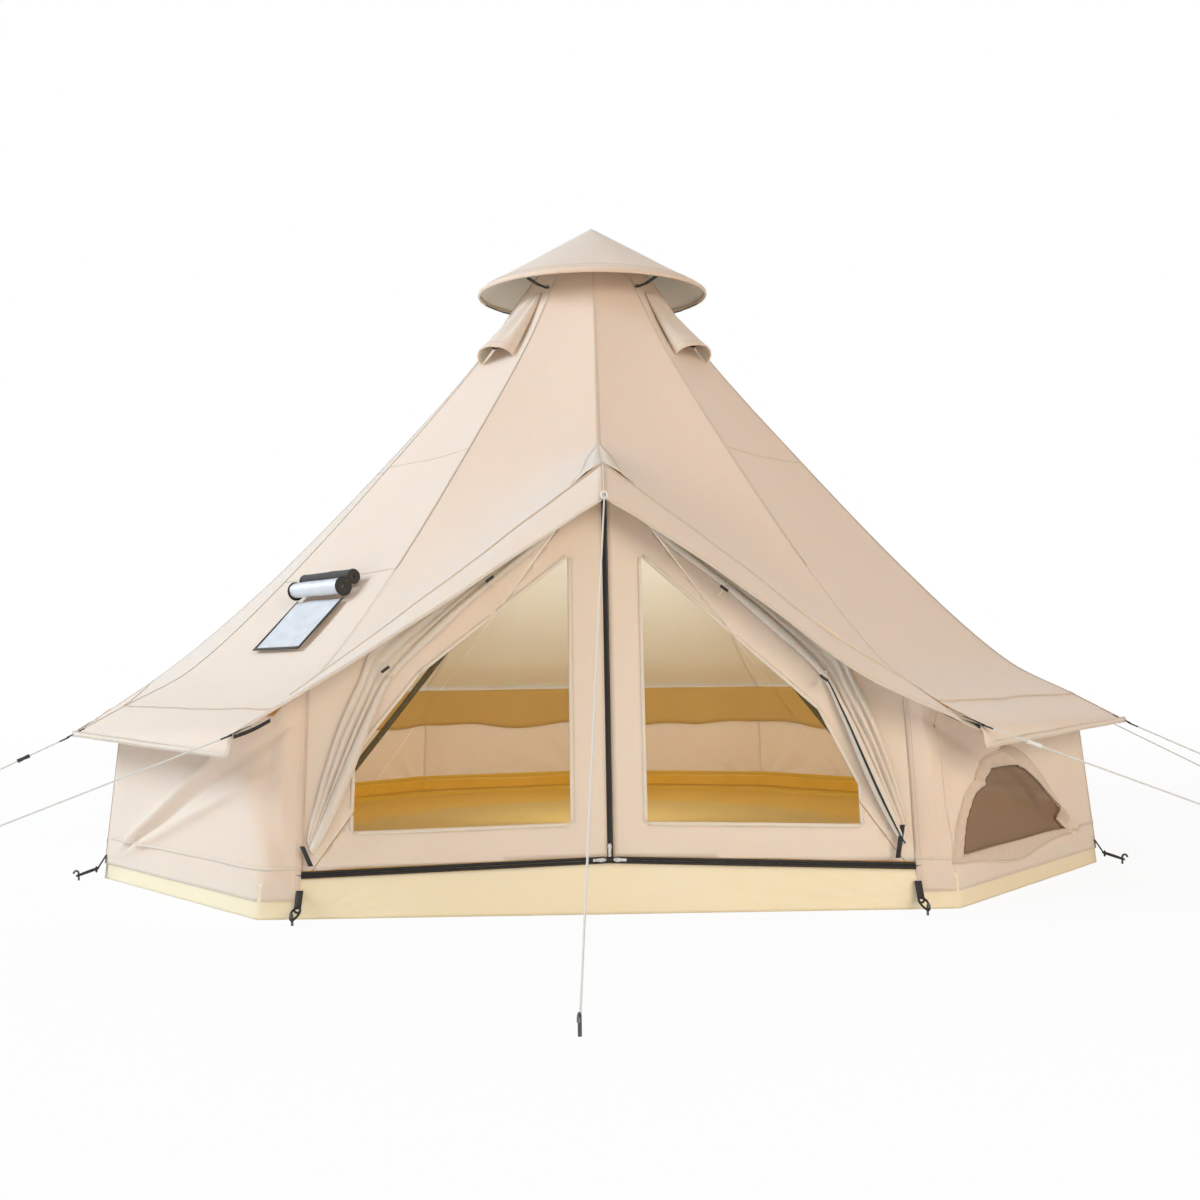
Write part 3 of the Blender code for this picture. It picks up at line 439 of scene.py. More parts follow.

# The tray's inner face is a darker ochre, painted shade of the dim inside, and deepest on the rim, where the
# saturated colour is painted light coming through the coated cloth.
painted_floor_inside = Finish("painted_floor_inside", Roughness=0.45)
where = painted_floor_inside.place()
clouds = painted_floor_inside.noise(where, 5.0, 6.0)
floor_shade_colour = painted_floor_inside.mix(clouds, (0.47, 0.28, 0.06), (0.58, 0.37, 0.11))
rim_glow_colour = painted_floor_inside.mix(clouds, (0.62, 0.30, 0.002), (0.74, 0.40, 0.006))
reach = painted_floor_inside.node("VectorMath", {"operation": "LENGTH"}, {0: where}, 1)
rim_glow_share = painted_floor_inside.node("Clamp", None, {0: reach * 5.0 - 5.8 + clouds})
painted_floor_inside.feed("Base Color", painted_floor_inside.mix(rim_glow_share, floor_shade_colour, rim_glow_colour))
painted_floor_inside.bump(clouds, 0.4, 0.01)
painted_inner_faces["coated_floor_cloth"] = painted_floor_inside.material


def on_front(place):
    return abs(place.y + tray_front) < 1e-3


def rim_point(place, rim, share):
    """A point of the rim, which leans in with the walls and, in front, with the door."""
    height = rim * share
    if on_front(place) and abs(place.x) <= door_half + 1e-6:
        return door(place.x, height)
    radius = hypot(place.x, place.y)
    corner = place * ((radius - wall_in * height) / radius)
    if on_front(place):
        near = (1.0 - abs(place.x)) / (1.0 - door_half)
        corner = corner.lerp(door(place.x, height), min(1.0, max(0.0, near)))
    return Vector((corner.x, corner.y, height))


corners = [door(-door_half, 0.0)] + [ring(tray_radius, -30 * k, 0.0) for k in range(1, 7)]
corners += [ring(tray_radius, 30 * k, 0.0) for k in range(5, 0, -1)] + [door(door_half, 0.0)]
rim_heights = [0.112] + [0.10] * 11 + [0.112]
stations = []
for index, (here, there) in enumerate(zip(corners, corners[1:])):
    steps = max(4, ceil((there - here).length / 0.03))
    for step in range(steps):
        share = step / steps
        rim = rim_heights[index] * (1 - share) + rim_heights[index + 1] * share
        stations.append((here.lerp(there, share), rim))
stations.append((corners[-1], rim_heights[-1]))
sill_steps = 90
for step in range(1, sill_steps):
    side = door_half * (1 - 2 * step / sill_steps)
    stations.append((door(side, 0.0), sill_mid - sill_drop * abs(side) / door_half))


def rim_row(down, station):
    """The rim, with soft folds, and creases that fan across the sill from the door's two feet."""
    place, rim = station
    share = 1 - down
    point = rim_point(place, rim, share)
    outward = outwards(place)
    run = atan2(place.x, -place.y) * 2.0
    fold = 0.0016 * ripple(run * 9, point.z * 9, 3) * (1 - share)
    if on_front(place) and abs(place.x) < door_half:
        outward = Vector((0.0, -1.0, 0.2))
        foot = door_half - abs(place.x)
        reach = hypot(foot, point.z * 2.2)
        fan = atan2(point.z * 2.2, foot + 1e-4)
        fold += 0.0042 * sin(fan * 21.0) * exp(-reach / 0.33) * min(1.0, share * 3, (1.02 - share) * 4)
        sag = (1 - abs(place.x) / door_half) ** 2 * share * 0.5
        fold += 0.0028 * sin(point.z * 62 - abs(place.x) * 5) * sag
    return point - outward * 0.0015 + outward * min(fold, 0.004)


def floor_row(share, place):
    """The floor, a few millimetres uneven, drawn in towards the middle."""
    uneven = 0.5 + 0.5 * ripple(place.x * share * 2.1, place.y * share * 2.1, 9)
    rise = 0.0016 + 0.004 * uneven * min(1, (1 - share) * 12)
    return Vector((place.x * share * 0.9985, place.y * share * 0.9985, rise))


rim_rows, floor_rings = 14, 12
tray_rows = [[rim_row(row / rim_rows, station) for station in stations] for row in range(rim_rows + 1)]
for step in range(1, floor_rings + 1):
    share = 1 - (step / floor_rings) ** 0.9 * 0.999
    tray_rows.append([floor_row(share, place) for place, _ in stations])
hang(
    "floor_tray", grid_mesh(tray_rows, closed=True), 1.0, sheet_finish.material,
    "coated_floor", "groundsheet", flat=(4.2, 4.2),
)

# Canvas walls
# Six cotton wall cloths hang from the eave and are sewn to the groundsheet's rim. They are pegged
# tight at the corners, so creases fan up from each foot, and a strip is sewn on along the hem.


def canvas_finish(name, dark, light, glow=0.62, shaded_top_colour=None):
    """Woven cotton: fine threads in the cut's own directions, slubs, faint uneven dye, and painted shade
    higher up when a top colour is given.
    """
    cotton = Finish(name, Roughness=0.9, Sheen_Weight=0.25, Sheen_Roughness=0.5)
    cotton.translucent(glow, (1.0, 0.72, 0.42), 0.0024)
    where = cotton.place()
    cut, across, down = cotton.weave_ways()
    weave = (across * 2600.0).sine() * (down * 2600.0).sine()
    slubs = cotton.stretched_noise(cut, (900.0, 60.0, 1.0), 3.0)
    dye = cotton.noise(where, 1.7, 4.0, 0.55)
    crush = cotton.noise(where, 14.0, 5.0, 0.6)
    base = cotton.mix(dye, dark, light)
    # Painted shade: from about half a metre up, the colour blends into the darker top colour.
    if shaded_top_colour:
        height = cotton.node("SeparateXYZ", None, {"Vector": where}, 2)
        base = cotton.mix(cotton.node("Clamp", None, {0: height * 2.5 - 1.2}), base, shaded_top_colour)
    cotton.feed("Base Color", cotton.mix(slubs * 0.35, base, tuple(0.82 * c for c in dark)))
    cotton.feed("Roughness", 0.82 + crush * 0.14)
    cotton.bump(crush * 0.5 + dye * 0.4 + slubs * 0.06 + weave * 0.03, 0.28, 0.006)
    return cotton.material


canvas = canvas_finish("cotton_canvas", (0.785, 0.652, 0.540), (0.835, 0.700, 0.585))
# Painted shade: a dark brown band stands for the skirt's shade on the wall's inside.
eave_shade_strip = canvas_finish("eave_shade_band", (0.50, 0.27, 0.06), (0.60, 0.35, 0.09), 0.0)
# Painted shade: the gathered border is a darker copy of the canvas colour.
shaded_border_canvas = canvas_finish("gathered_border_painted_shade", (0.66, 0.52, 0.40), (0.77, 0.62, 0.49), 0.4)
brown_tape = canvas_finish("brown_binding", (0.14, 0.085, 0.05), (0.22, 0.14, 0.09), 0.0)
edge_tape = canvas_finish("sewn_edge_tape", (0.80, 0.635, 0.50), (0.85, 0.68, 0.54), 0.55)
# Painted light: the ochre of this strip stands for daylight coming through the groundsheet's raised rim.
rim_glow_strip = grained(
    "rim_painted_glow_cloth", 6.0, 5.0, (0.66, 0.30, 0.004), (0.82, 0.43, 0.012), (0.4, 0.01), Roughness=0.45
)
binding = grained(
    "dark_binding_tape", 500.0, 2.0, (0.016, 0.015, 0.014), (0.055, 0.050, 0.045), (0.4, 0.0008),
    Roughness=0.8, Sheen_Weight=0.2,
)
wall_tops = {30: 0.5776, 60: 0.5768, 90: 0.6254, -90: 0.6682}
for degrees in (30, 60):
    wall_tops[-degrees] = wall_tops[degrees]
for degrees in (120, 150, 180):
    wall_tops[degrees] = wall_tops[-degrees] = 0.6116
wall_foot, under_eave = 0.05, 0.004
wall_rows, wall_columns = 40, 72
strip_seam_height, seam_reach = 0.14, 0.0068


def wall_fold(run, share, height, width, seed):
    """How far a wall bulges: creases that fan from both of its feet, and soft upright waves."""
    depth = 0.0065 * ripple(run * 5.0, height * 2.0, seed, 2.0)
    for foot in (run, width - run):
        fan = atan2(height + 0.02, foot + 0.01)
        reach = hypot(foot, height)
        depth += 0.0095 * sin(fan * 13.0 + seed) * exp(-reach / 0.34) * min(1.0, reach / 0.06)
    ends = min(1.0, max(0.0, run) * 11.0, max(0.0, width - run) * 11.0)
    return depth * ends * min(1.0, (1.0 - share) * 6 + 0.15) * min(1.0, share * 5 + 0.1)


def wall_panel(start, end, seed):
    """Rows of points of the wall between two corners, from the eave down."""
    def spot(share, s):
        top = wall_tops[start] * (1 - s) + wall_tops[end] * s - under_eave
        height = top + (wall_foot - top) * share
        radius = wall_radius - wall_in * height
        point = ring(radius, start, height).lerp(ring(radius, end, height), s)
        width = 2 * radius * half_side
        return point + outwards(point) * wall_fold(s * width, share, height, width, seed)

    return grid(wall_rows, wall_columns, spot)


wall_seams = []
for hand, word in hands:
    for part, spans in (("side", ((60, 90), (90, 120))), ("rear", ((120, 150), (150, 180)))):
        for half, (a, b) in enumerate(spans):
            a, b = hand * a, hand * b
            rows = wall_panel(a, b, hand * 3 + a / 30)
            middles = [line[wall_columns // 2].z for line in rows]
            row = [line for line, z in zip(rows, middles) if abs(z - strip_seam_height) < seam_reach][-1]
            wall_seams.append([p + outwards(p) * 0.001 for p in row])
            if (part, half) != ("side", 1):
                hang(f"canvas_wall_{part}_{word}_{half}", rows, 0.3, canvas, "canvas",
                     f"wall_{part}_{word}")

# Inside, a brown band hangs from the eave, painted shade of the skirt that overlaps the wall outside, and an
# ochre band covers the seam of the rim, painted light coming through the coated cloth.
for label, finish, slot, top, deep, wave, inset in (
    ("eave_shade_band", eave_shade_strip, "canvas_lining", 0.600, 0.195, 0.030, 0.008),
    ("rim_glow_band", rim_glow_strip, "coated_floor", 0.015, -0.066, 0.006, 0.012),
):
    for hand, word in hands:
        def spot(down, along):
            degrees = hand * (60.5 + 119.0 * along)
            near = hand * 30 * int(abs(degrees) // 30)
            share = (abs(degrees) % 30) / 30
            drop = deep + wave * (ripple(along * 13.2, 0.0, 51 + hand) + 0.7 * sin(pi * share))
            height = top - drop * down
            radius = wall_radius - wall_in * height - inset - 0.004 * down
            return ring(radius, near, height).lerp(ring(radius, near + hand * 30, height), share)

        hang(f"{label}_{word}", grid(8, 120, spot), 0.5, finish, slot,
             thick=0.0008)


def flat_cloth(outline, place, hole=None, cell=0.02):
    """A piece cut to a convex outline, and round a convex hole, from a fine grid laid in 3-D."""
    xs, ys = zip(*outline)
    low_x, low_y = min(xs), min(ys)
    across, down = (max(2, ceil((max(way) - min(way)) / cell)) for way in (xs, ys))
    shell = bmesh.new()
    made = grid(down, across, lambda v, u: shell.verts.new(
        (low_x + (max(xs) - low_x) * u, low_y + (max(ys) - low_y) * v, 0.0)
    ))
    for row in range(down):
        for c in range(across):
            shell.faces.new((made[row][c], made[row][c + 1], made[row + 1][c + 1], made[row + 1][c]))

    def cut(polygon, clear):
        centre = Vector((sum(p[0] for p in polygon), sum(p[1] for p in polygon), 0.0)) / len(polygon)
        for here, there in zip(polygon, polygon[1:] + polygon[:1]):
            start = Vector((*here, 0.0))
            side = Vector((there[1] - here[1], here[0] - there[0], 0.0)).normalized()
            if side.dot(centre - start) > 0:
                side = -side
            geometry = shell.verts[:] + shell.edges[:] + shell.faces[:]
            bmesh.ops.bisect_plane(
                shell, geom=geometry, dist=1e-6, plane_co=start, plane_no=side, clear_outer=clear
            )

    def in_hole(point):
        signs = [
            (there[0] - here[0]) * (point.y - here[1]) - (there[1] - here[1]) * (point.x - here[0])
            for here, there in zip(hole, hole[1:] + hole[:1])
        ]
        return all(s > 0 for s in signs) or all(s < 0 for s in signs)

    cut(outline, True)
    if hole:
        cut(hole, False)
        gone = [face for face in shell.faces if in_hole(face.calc_center_median())]
        bmesh.ops.delete(shell, geom=gone, context="FACES")
    bmesh.ops.remove_doubles(shell, verts=shell.verts, dist=2e-5)
    shell.verts.index_update()
    points = [place(vertex.co.x, vertex.co.y) for vertex in shell.verts]
    uvs = [(vertex.co.x - low_x, vertex.co.y - low_y) for vertex in shell.verts]
    faces = [[v.index for v in face.verts] for face in shell.faces]
    shell.free()
    return make_mesh(points, faces, uvs)


def net_finish(name, colour, density):
    """Fine insect net: threads crossing both ways, with the light coming through between."""
    net = Finish(name, Base_Color=(*colour, 1.0), Roughness=0.85)
    cut, *ways = net.weave_ways()
    warp, weft = ((way * 2200.0).sine().size() > 0.86 for way in ways)
    haze = net.stretched_noise(cut, (9.0, 1.4, 1.0), 2.0)
    net.feed("Alpha", (warp + weft > 0.5) * 0.13 + density + haze * 0.08)
    return net.material


def ribbon(name, lines, finish, slot="canvas", body="tent", thick=0.0008):
    """A narrow tape through two or three lines of points that run side by side."""
    return piece(name, grid_mesh(list(zip(*lines))), finish, slot, body, thick, 1.0)


def round_outline(points, count):
    """The outline as a closed line of evenly spaced points."""
    points = [Vector(p) for p in points]
    sides = list(zip(points, points[1:] + points[:1]))
    lengths = [0.0]
    for here, there in sides:
        lengths.append(lengths[-1] + (there - here).length)
    spaced = []
    for step in range(count):
        reach = lengths[-1] * step / count
        for (here, there), low, high in zip(sides, lengths, lengths[1:]):
            if low <= reach < high:
                spaced.append(here.lerp(there, (reach - low) / (high - low)))
    return spaced


# The front walls reach from the second corner round to the door's edge. The right one has a
# D-shaped window under a gathered border. The panels behind on both sides have one as well.
# Painted light: the inside face of the cotton is a paler copy of its colour, standing for the daylight
# through the cloth, and higher up it turns darker as painted shade of the roof's inside.
painted_inner_faces["cotton_canvas"] = canvas_finish(
    "canvas_inside_painted_light", (0.85, 0.81, 0.75), (0.90, 0.87, 0.82), 0.3, (0.74, 0.69, 0.58)
)
window_net = net_finish("window_net", (0.26, 0.17, 0.11), 0.80)
door_net = net_finish("door_net", (0.68, 0.49, 0.15), 0.01)
panel_width, panel_rise = 1.037, 0.59
border_width, border_folds = 0.062, 0.005
window_shares = (
    (0.055, 0.25), (0.715, 0.258), (0.69, 0.36), (0.65, 0.44), (0.575, 0.545), (0.49, 0.62),
    (0.405, 0.65), (0.315, 0.64), (0.235, 0.60), (0.155, 0.52), (0.095, 0.41),
)


def wall_plane(start, end):
    """Origin, across, up and outward of a wall panel's flat, and its width."""
    foot, beside = ring(wall_radius, start, 0.0), ring(wall_radius, end, 0.0)
    top = ring(wall_radius - wall_in * panel_rise, start, panel_rise)
    across = (beside - foot).normalized()
    outward = across.cross(top - foot).normalized()
    if outward.dot(foot) < 0:
        outward = -outward
    up = outward.cross(across).normalized()
    if up.z < 0:
        up = -up
    return foot, across, up, outward, (beside - foot).length


def windowed_wall(part, start, end, seed, half, curved_place=None):
    """A wall cloth with a netted window, its gathered border and its tapes."""
    name, node = f"canvas_wall_{part}_{half}", "wall_" + part
    foot, across, up, outward, width = wall_plane(start, end)

    def place(x, y, lift=0.0):
        if curved_place:
            return curved_place(1, x - y * 0.0307, y * up.z, lift)
        fold = wall_fold(x, 1 - y / panel_rise, y, width, seed) * 0.8
        near = min(hypot((x - 0.40) / 0.42, (y - 0.26) / 0.20), 2.0)
        fold *= min(1.0, max(0.0, near - 0.75))
        return foot + across * x + up * y + outward * (fold + lift)

    def net_place(x, y):
        return place(x, y, -0.004 - 0.006 * ripple(x * 7, y * 7, seed))

    lean = wall_in * half_side
    rises = [wall_tops[corner] - under_eave for corner in (start, end)]
    outline = [
        (wall_foot * lean, wall_foot), (width - wall_foot * lean, wall_foot),
        (width - rises[1] * lean, rises[1]), (rises[0] * lean, rises[0]),
    ]
    hole = [(u * width, v * panel_rise) for u, v in window_shares]
    centre = sum((Vector(p) for p in hole), Vector((0.0, 0.0))) / len(hole)
    wide = [tuple(centre + (Vector(p) - centre) * 1.05) for p in hole]
    hang(name, flat_cloth(outline, place, hole, 0.016), 0.3, canvas, "canvas",
         node, (width, panel_rise))
    hang(name + "_net", flat_cloth(wide, net_place), 0.3, window_net, "net",
         "window_" + part, thick=0)
    line = round_outline(hole, 144)
    line.append(line[0])

    def beyond(p, reach, lift):
        return place(*(p + (p - centre).normalized() * reach), lift)

    border = []
    for index, p in enumerate(line):
        gather = border_folds * sin(index * 2.1 + 0.6 * sin(index * 0.37))
        row = []
        for step in range(9):
            s = step / 8
            lift = 0.0012 + 0.007 * sin(pi * s) + 0.5 * gather * sin(pi * min(1.0, s + 0.12))
            row.append(beyond(p, border_width * s, lift))
        border.append(row)
    hang(name + "_border", border, 0.3, shaded_border_canvas, "canvas")
    for label, finish, reach, lift, span in (
        ("rim", brown_tape, -0.002, 0.0035, 0.0035), ("edge", edge_tape, border_width - 0.002, 0.0015, 0.006),
    ):
        ribbon(f"{name}_{label}_tape", [
            [beyond(p, reach + extra, lift + high) for p in line]
            for extra, high in ((0.0, 0.0), (span / 2, 0.0015), (span, 0.0))
        ], finish)
    cover = [(0.40 + 0.30 * k / 16, 0.635 - 0.35 * (k / 16) ** 1.3) for k in range(17)]
    ribbon(name + "_cover_edge", [
        [place((x - in_by) * width, (y - in_by) * panel_rise, -0.014) for x, y in cover]
        for in_by in (0.0, 0.008, 0.016)
    ], brown_tape)
    wall_seams.append([place(width * k / 60, strip_seam_height, 0.0015) for k in range(61)])


windowed_wall("side_left", -90, -120, 4.0, 1)
windowed_wall("side_right", 90, 120, 5.0, 1)

# Each front wall is one cloth from the door's edge to the second corner. It bends softly round the
# first corner, and is strained in slanting creases from the far foot to the top beside the door.
column_width = 0.12     # from the door's edge to the first corner
eave_height, eave_rise = 0.5736, 0.0774


def front_point(hand, run, height, lift=0.0):
    """A point of a front wall, by its run from the first corner."""
    radius = wall_radius - wall_in * height
    corner = ring(radius, 30 * hand, height)
    corner_run = 2 * radius * half_side

    def polyline(u):
        if u < 0:
            return corner.lerp(door(hand * door_half, height, 0.0055), -u / column_width)
        return corner.lerp(ring(radius, 60 * hand, height), u / corner_run)

    bend = 0.02 + 0.11 * min(1.0, max(0.0, (height - 0.1) / 0.3))
    soft = max(min(bend, run + column_width, corner_run - run), 0.0)
    point = sum((polyline(run + soft * k / 3) for k in range(-3, 4)), Vector()) / 7
    far = hypot(panel_width - run, height - 0.04)
    slant = atan2(height - 0.04, panel_width - run + 1e-4)
    tight = min(1.0, far / 0.25)
    depth = 0.0
    for crest, angle, narrow, fade in (
        (0.030, 0.50, 0.022, 1.0),
        (0.022, 0.34, 0.016, min(1.0, (1.2 - far) * 3)),
        (-0.018, 0.43, 0.018, 1.0),
    ):
        depth += crest * exp(-abs((slant - angle) * far / narrow)) * tight * fade
    depth += 0.005 * ripple(run * 4, height * 3, hand * 3.0)
    depth += 0.006 * sin(atan2(height, run + 0.14) * 15) * exp(-hypot(run + 0.12, height) / 0.28)
    depth *= min(1.0, max(0.0, (height - 0.055) * 12)) * min(1.0, max(0.0, (run + column_width) * 12 + 0.1))
    depth *= min(1.0, max(0.0, corner_run - run) * 14)
    return point + outwards(point) * (depth - 0.002 + lift)


def front_rows(hand, last, columns):
    """The front wall from the door's edge on. Its top rises beside the door."""
    def spot(down, along):
        run = -column_width + (last + column_width) * along
        top = eave_height + eave_rise * max(0.0, -run) / column_width
        height = top + (wall_foot - top) * down
        if run > 0:
            run *= 1 - wall_in * height / wall_radius
        return front_point(hand, run, height)

    return grid(46, columns, spot)


hang("canvas_wall_front_left", front_rows(-1, panel_width, 96), 0.3, canvas, "canvas",
     "wall_front_left")
hang("canvas_wall_front_right_1", front_rows(1, 0.0, 16), 0.3, canvas, "canvas",
     "wall_front_right", (0.13, 0.61))
windowed_wall("front_right", 30, 60, 2.0, 0, front_point)
door_edge_seams = []
for hand, word in hands:
    seam_run = panel_width * 0.97 + column_width
    wall_seams.append([
        front_point(hand, -column_width + seam_run * k / 60, strip_seam_height, 0.0012) for k in range(61)
    ])
    for reach in (0.004, 0.014):
        door_edge_seams.append([
            front_point(hand, -column_width + reach, 0.06 + 0.56 * k / 40, 0.0015) for k in range(41)
        ])

# Roof cloths
# Tapered canvas panels are sewn together along seams that run from the crown plate to the skirt.
# Over the door two shorter panels rise to a ridge, and their deep hem shades the doorway.
seam_radii = (0.14, 0.25, 0.525, 0.945, 1.365, 1.70, 1.93, 2.0745, 2.10)
seam_knots = {
    degrees: list(zip(seam_radii, heights))
    for degrees, heights in (
        (30, (2.5, 2.399, 2.0061, 1.507, 1.04, 0.7199, 0.59, 0.5263, 0.4626)),
        (60, (2.5, 2.399, 2.0061, 1.507, 1.04, 0.7199, 0.59, 0.5093, 0.4951)),
        (90, (2.5, 2.4025, 2.0166, 1.5385, 1.096, 0.7899, 0.6355, 0.5416, 0.525)),
        (-90, (2.5, 2.4055, 2.0256, 1.5655, 1.144, 0.8499, 0.6745, 0.5806, 0.564)),
        (120, (2.5, 2.4015, 2.0136, 1.5295, 1.08, 0.7699, 0.6225, 0.5451, 0.5315)),
    )
}
seam_knots[-30], seam_knots[-60] = seam_knots[30], seam_knots[60]
for degrees in (-120, 150, -150, 180, -180):
    seam_knots[degrees] = seam_knots[120]
seam_steps = (4, 10, 14, 14, 12, 9, 6, 3)
ridge_knots = seam_knots[30][:4] + [(1.1149, 1.4339), (1.29, 1.3748), (1.46, 1.333), (1.60, 1.203)]
door_knots = seam_knots[30][:6] + [(1.8504, 0.635), (2.0745, 0.5263)]
door_steps = (4, 10, 14, 14, 10, 8, 8)
roof_columns = 40


def curved(knots, steps):
    """A smooth line through the knots, with this many steps between each two."""
    line = []
    for index in range(len(knots) - 1):
        a, b = Vector(knots[index]), Vector(knots[index + 1])
        before = Vector(knots[index - 1]) if index else a - (b - a)
        after = Vector(knots[index + 2]) if index + 2 < len(knots) else b + (b - a)
        span = (b - a).length
        lead = (b - before) * span / ((a - before).length + span)
        tail = (after - a) * span / (span + (after - b).length)
        for step in range(steps[index]):
            t = step / steps[index]
            line.append(
                a * (2 * t**3 - 3 * t**2 + 1) + lead * (t**3 - 2 * t**2 + t)
                + b * (3 * t**2 - 2 * t**3) + tail * (t**3 - t**2)
            )
    line.append(Vector(knots[-1]))
    return line


def seam_line(degrees, knots, steps):
    return [ring(radius, degrees, height) for radius, height in curved(knots, steps)]


def roof_rows(first, second, seed, calm=0.0):
    """Rows between two seams: the cloth sags a little between them and ripples near its edges."""
    last = len(first) - 1
    rows = []
    for index, (a, b) in enumerate(zip(first, second)):
        before, after = max(index - 1, 0), min(index + 1, last)
        along = (first[after] + second[after]) - (first[before] + second[before])
        normal = (b - a).cross(along).normalized()
        if normal.dot(a + b) + normal.z < 0:
            normal = -normal
        width = (b - a).length
        share = index / last
        line = []
        for column in range(roof_columns + 1):
            s = column / roof_columns
            swell = sin(pi * s)
            run = (s - 0.5) * width
            depth = -0.010 * swell * sin(pi * min(1.0, share * 1.05))
            depth += 0.006 * ripple(run * 3.0 + seed, share * 5.0, seed, 1.6) * swell * (0.35 + share)
            depth += 0.0045 * ripple(run * 7.0, share * 3.0, seed + 5, 2.5) * min(1, share * 1.3) * swell
            for edge in (s, 1 - s):
                fan = edge * width
                depth += 0.004 * sin(fan * 42 + share * 16) * exp(-fan / 0.10) * exp(-(1 - share) / 0.10)
            line.append(a.lerp(b, s) + normal * depth * (1 - calm))
        rows.append(line)
    return rows


roof_panels = {}
hem_start = 53          # the last row of the door's roof above its loose hem
for hand, word in hands:
    for part, spans in (
        ("front", ((30, 60),)), ("side", ((60, 90), (90, 120))), ("rear", ((120, 150), (150, 180))),
    ):
        for half, (a, b) in enumerate(spans):
            first, second = (seam_line(hand * c, seam_knots[hand * c], seam_steps) for c in (a, b))
            rows = roof_rows(first, second, hand * 2.0 + a / 30)
            roof_panels[hand * a, hand * b] = rows
            width = (first[-1] - second[-1]).length
            hang(f"canvas_roof_{part}_{word}_{half}", rows, 0.8, canvas, "canvas",
                 f"roof_{part}_{word}", (width * 1.02, 2.95))
    ridge = seam_line(0.0, ridge_knots, door_steps)
    rows = roof_rows(ridge, seam_line(hand * 30.0, door_knots, door_steps), hand * 1.5, 0.3)
    for index, row in enumerate(rows[hem_start + 1 :], 1):
        loose = index / (len(rows) - 1 - hem_start)
        for column, point in enumerate(row):
            s = column / roof_columns
            slack = 0.060 * exp(-(((s - 0.68) / 0.27) ** 2)) if hand > 0 else 0.008 * sin(pi * s)
            flutter = 0.004 * sin(s * 26) * loose * sin(pi * s)
            row[column] = point + Vector((0.0, -0.15, -1.0)) * slack * loose - Vector((0.0, flutter, 0.0))
    roof_panels[0, hand * 30] = rows
    hang(f"canvas_roof_door_{word}", rows, 0.8, canvas, "canvas",
         f"roof_door_{word}", (1.26, 2.75))

# Seams and stitching
# Every seam is a flat felled one: a raised double fold of canvas, held by two rows of thread. The
# eave, the skirt's edge and the hem over the door have the same rows. The thread is cotton.
thread = grained("cotton_thread", 300.0, 1.0, (0.62, 0.49, 0.37), (0.73, 0.59, 0.46), Roughness=0.7)


def stitch_tree():
    """Stitches on a curve: short blocks at an even pitch, turned along it."""
    tree = bpy.data.node_groups.new("stitch_row", "GeometryNodeTree")
    for name, kind, way in (
        ("Geometry", "Geometry", "INPUT"), ("Pitch", "Float", "INPUT"), ("Length", "Float", "INPUT"),
        ("Thread", "Float", "INPUT"), ("Material", "Material", "INPUT"), ("Geometry", "Geometry", "OUTPUT"),
    ):
        tree.interface.new_socket(name, in_out=way, socket_type="NodeSocket" + kind)

    def add(kind, wires=(), **settings):
        made = tree.nodes.new(kind)
        for key, value in settings.items():
            setattr(made, key, value)
        for socket, source in dict(wires).items():
            tree.links.new(source, made.inputs[socket])
        return made.outputs

    start = add("NodeGroupInput")
    spaced = add(
        "GeometryNodeResampleCurve", {"Curve": start["Geometry"], "Length": start["Pitch"]}, mode="LENGTH"
    )
    sizes = {"X": start["Length"], "Y": start["Thread"], "Z": start["Thread"]}
    block = add("GeometryNodeMeshCube", {"Size": add("ShaderNodeCombineXYZ", sizes)[0]})
    tangent = add("GeometryNodeInputTangent")[0]
    aim = add("FunctionNodeAlignRotationToVector", {"Vector": tangent}, axis="X")
    placed = add(
        "GeometryNodeInstanceOnPoints", {"Points": spaced[0], "Instance": block["Mesh"], "Rotation": aim[0]}
    )
    real = add("GeometryNodeRealizeInstances", {"Geometry": placed[0]})
    coloured = add("GeometryNodeSetMaterial", {"Geometry": real[0], "Material": start["Material"]})
    add("NodeGroupOutput", {"Geometry": coloured[0]})
    return tree


stitching = stitch_tree()


def stitch(name, lines, finish=thread, body="tent", sizes=(0.008, 0.0052, 0.0012)):
    """Rows of stitches along lines, as one plain mesh. The sizes are pitch, length and thickness."""
    curve = bpy.data.curves.new(name + "_path", "CURVE")
    curve.dimensions = "3D"
    for points in lines:
        line = curve.splines.new("POLY")
        line.points.add(len(points) - 1)
        for knot, point in zip(line.points, points):
            knot.co = (*point, 1.0)
    path = link(name + "_path", curve)
    step = path.modifiers.new("made", "NODES")
    step.node_group = stitching
    values = dict(zip(("Pitch", "Length", "Thread"), sizes), Material=finish)
    for item in stitching.interface.items_tree:
        if item.name in values:
            step[item.identifier] = values[item.name]
    bpy.context.view_layer.update()
    mesh = bpy.data.meshes.new_from_object(path.evaluated_get(bpy.context.evaluated_depsgraph_get()))
    bpy.data.objects.remove(path, do_unlink=True)
    made = link(name, mesh)
    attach(made, body)


def beside(rows, edge, reach, lift):
    """A line that runs at a reach from one edge of a panel, lifted off its outer face."""
    line = []
    for index, row in enumerate(rows):
        start, end = (row[0], row[-1]) if edge == 0 else (row[-1], row[0])
        step = (end - start).normalized()
        near, far = max(index - 1, 0), min(index + 1, len(rows) - 1)
        along = rows[far][0] - rows[near][0]
        normal = step.cross(along).normalized()
        if normal.dot(row[0]) + normal.z < 0:
            normal = -normal
        line.append(start + step * min(reach, (end - start).length * 0.4) + normal * lift)
    return line


def panel_between(a, b):
    if (a, b) in roof_panels:
        return roof_panels[a, b]
    return [row[::-1] for row in roof_panels[b, a]]


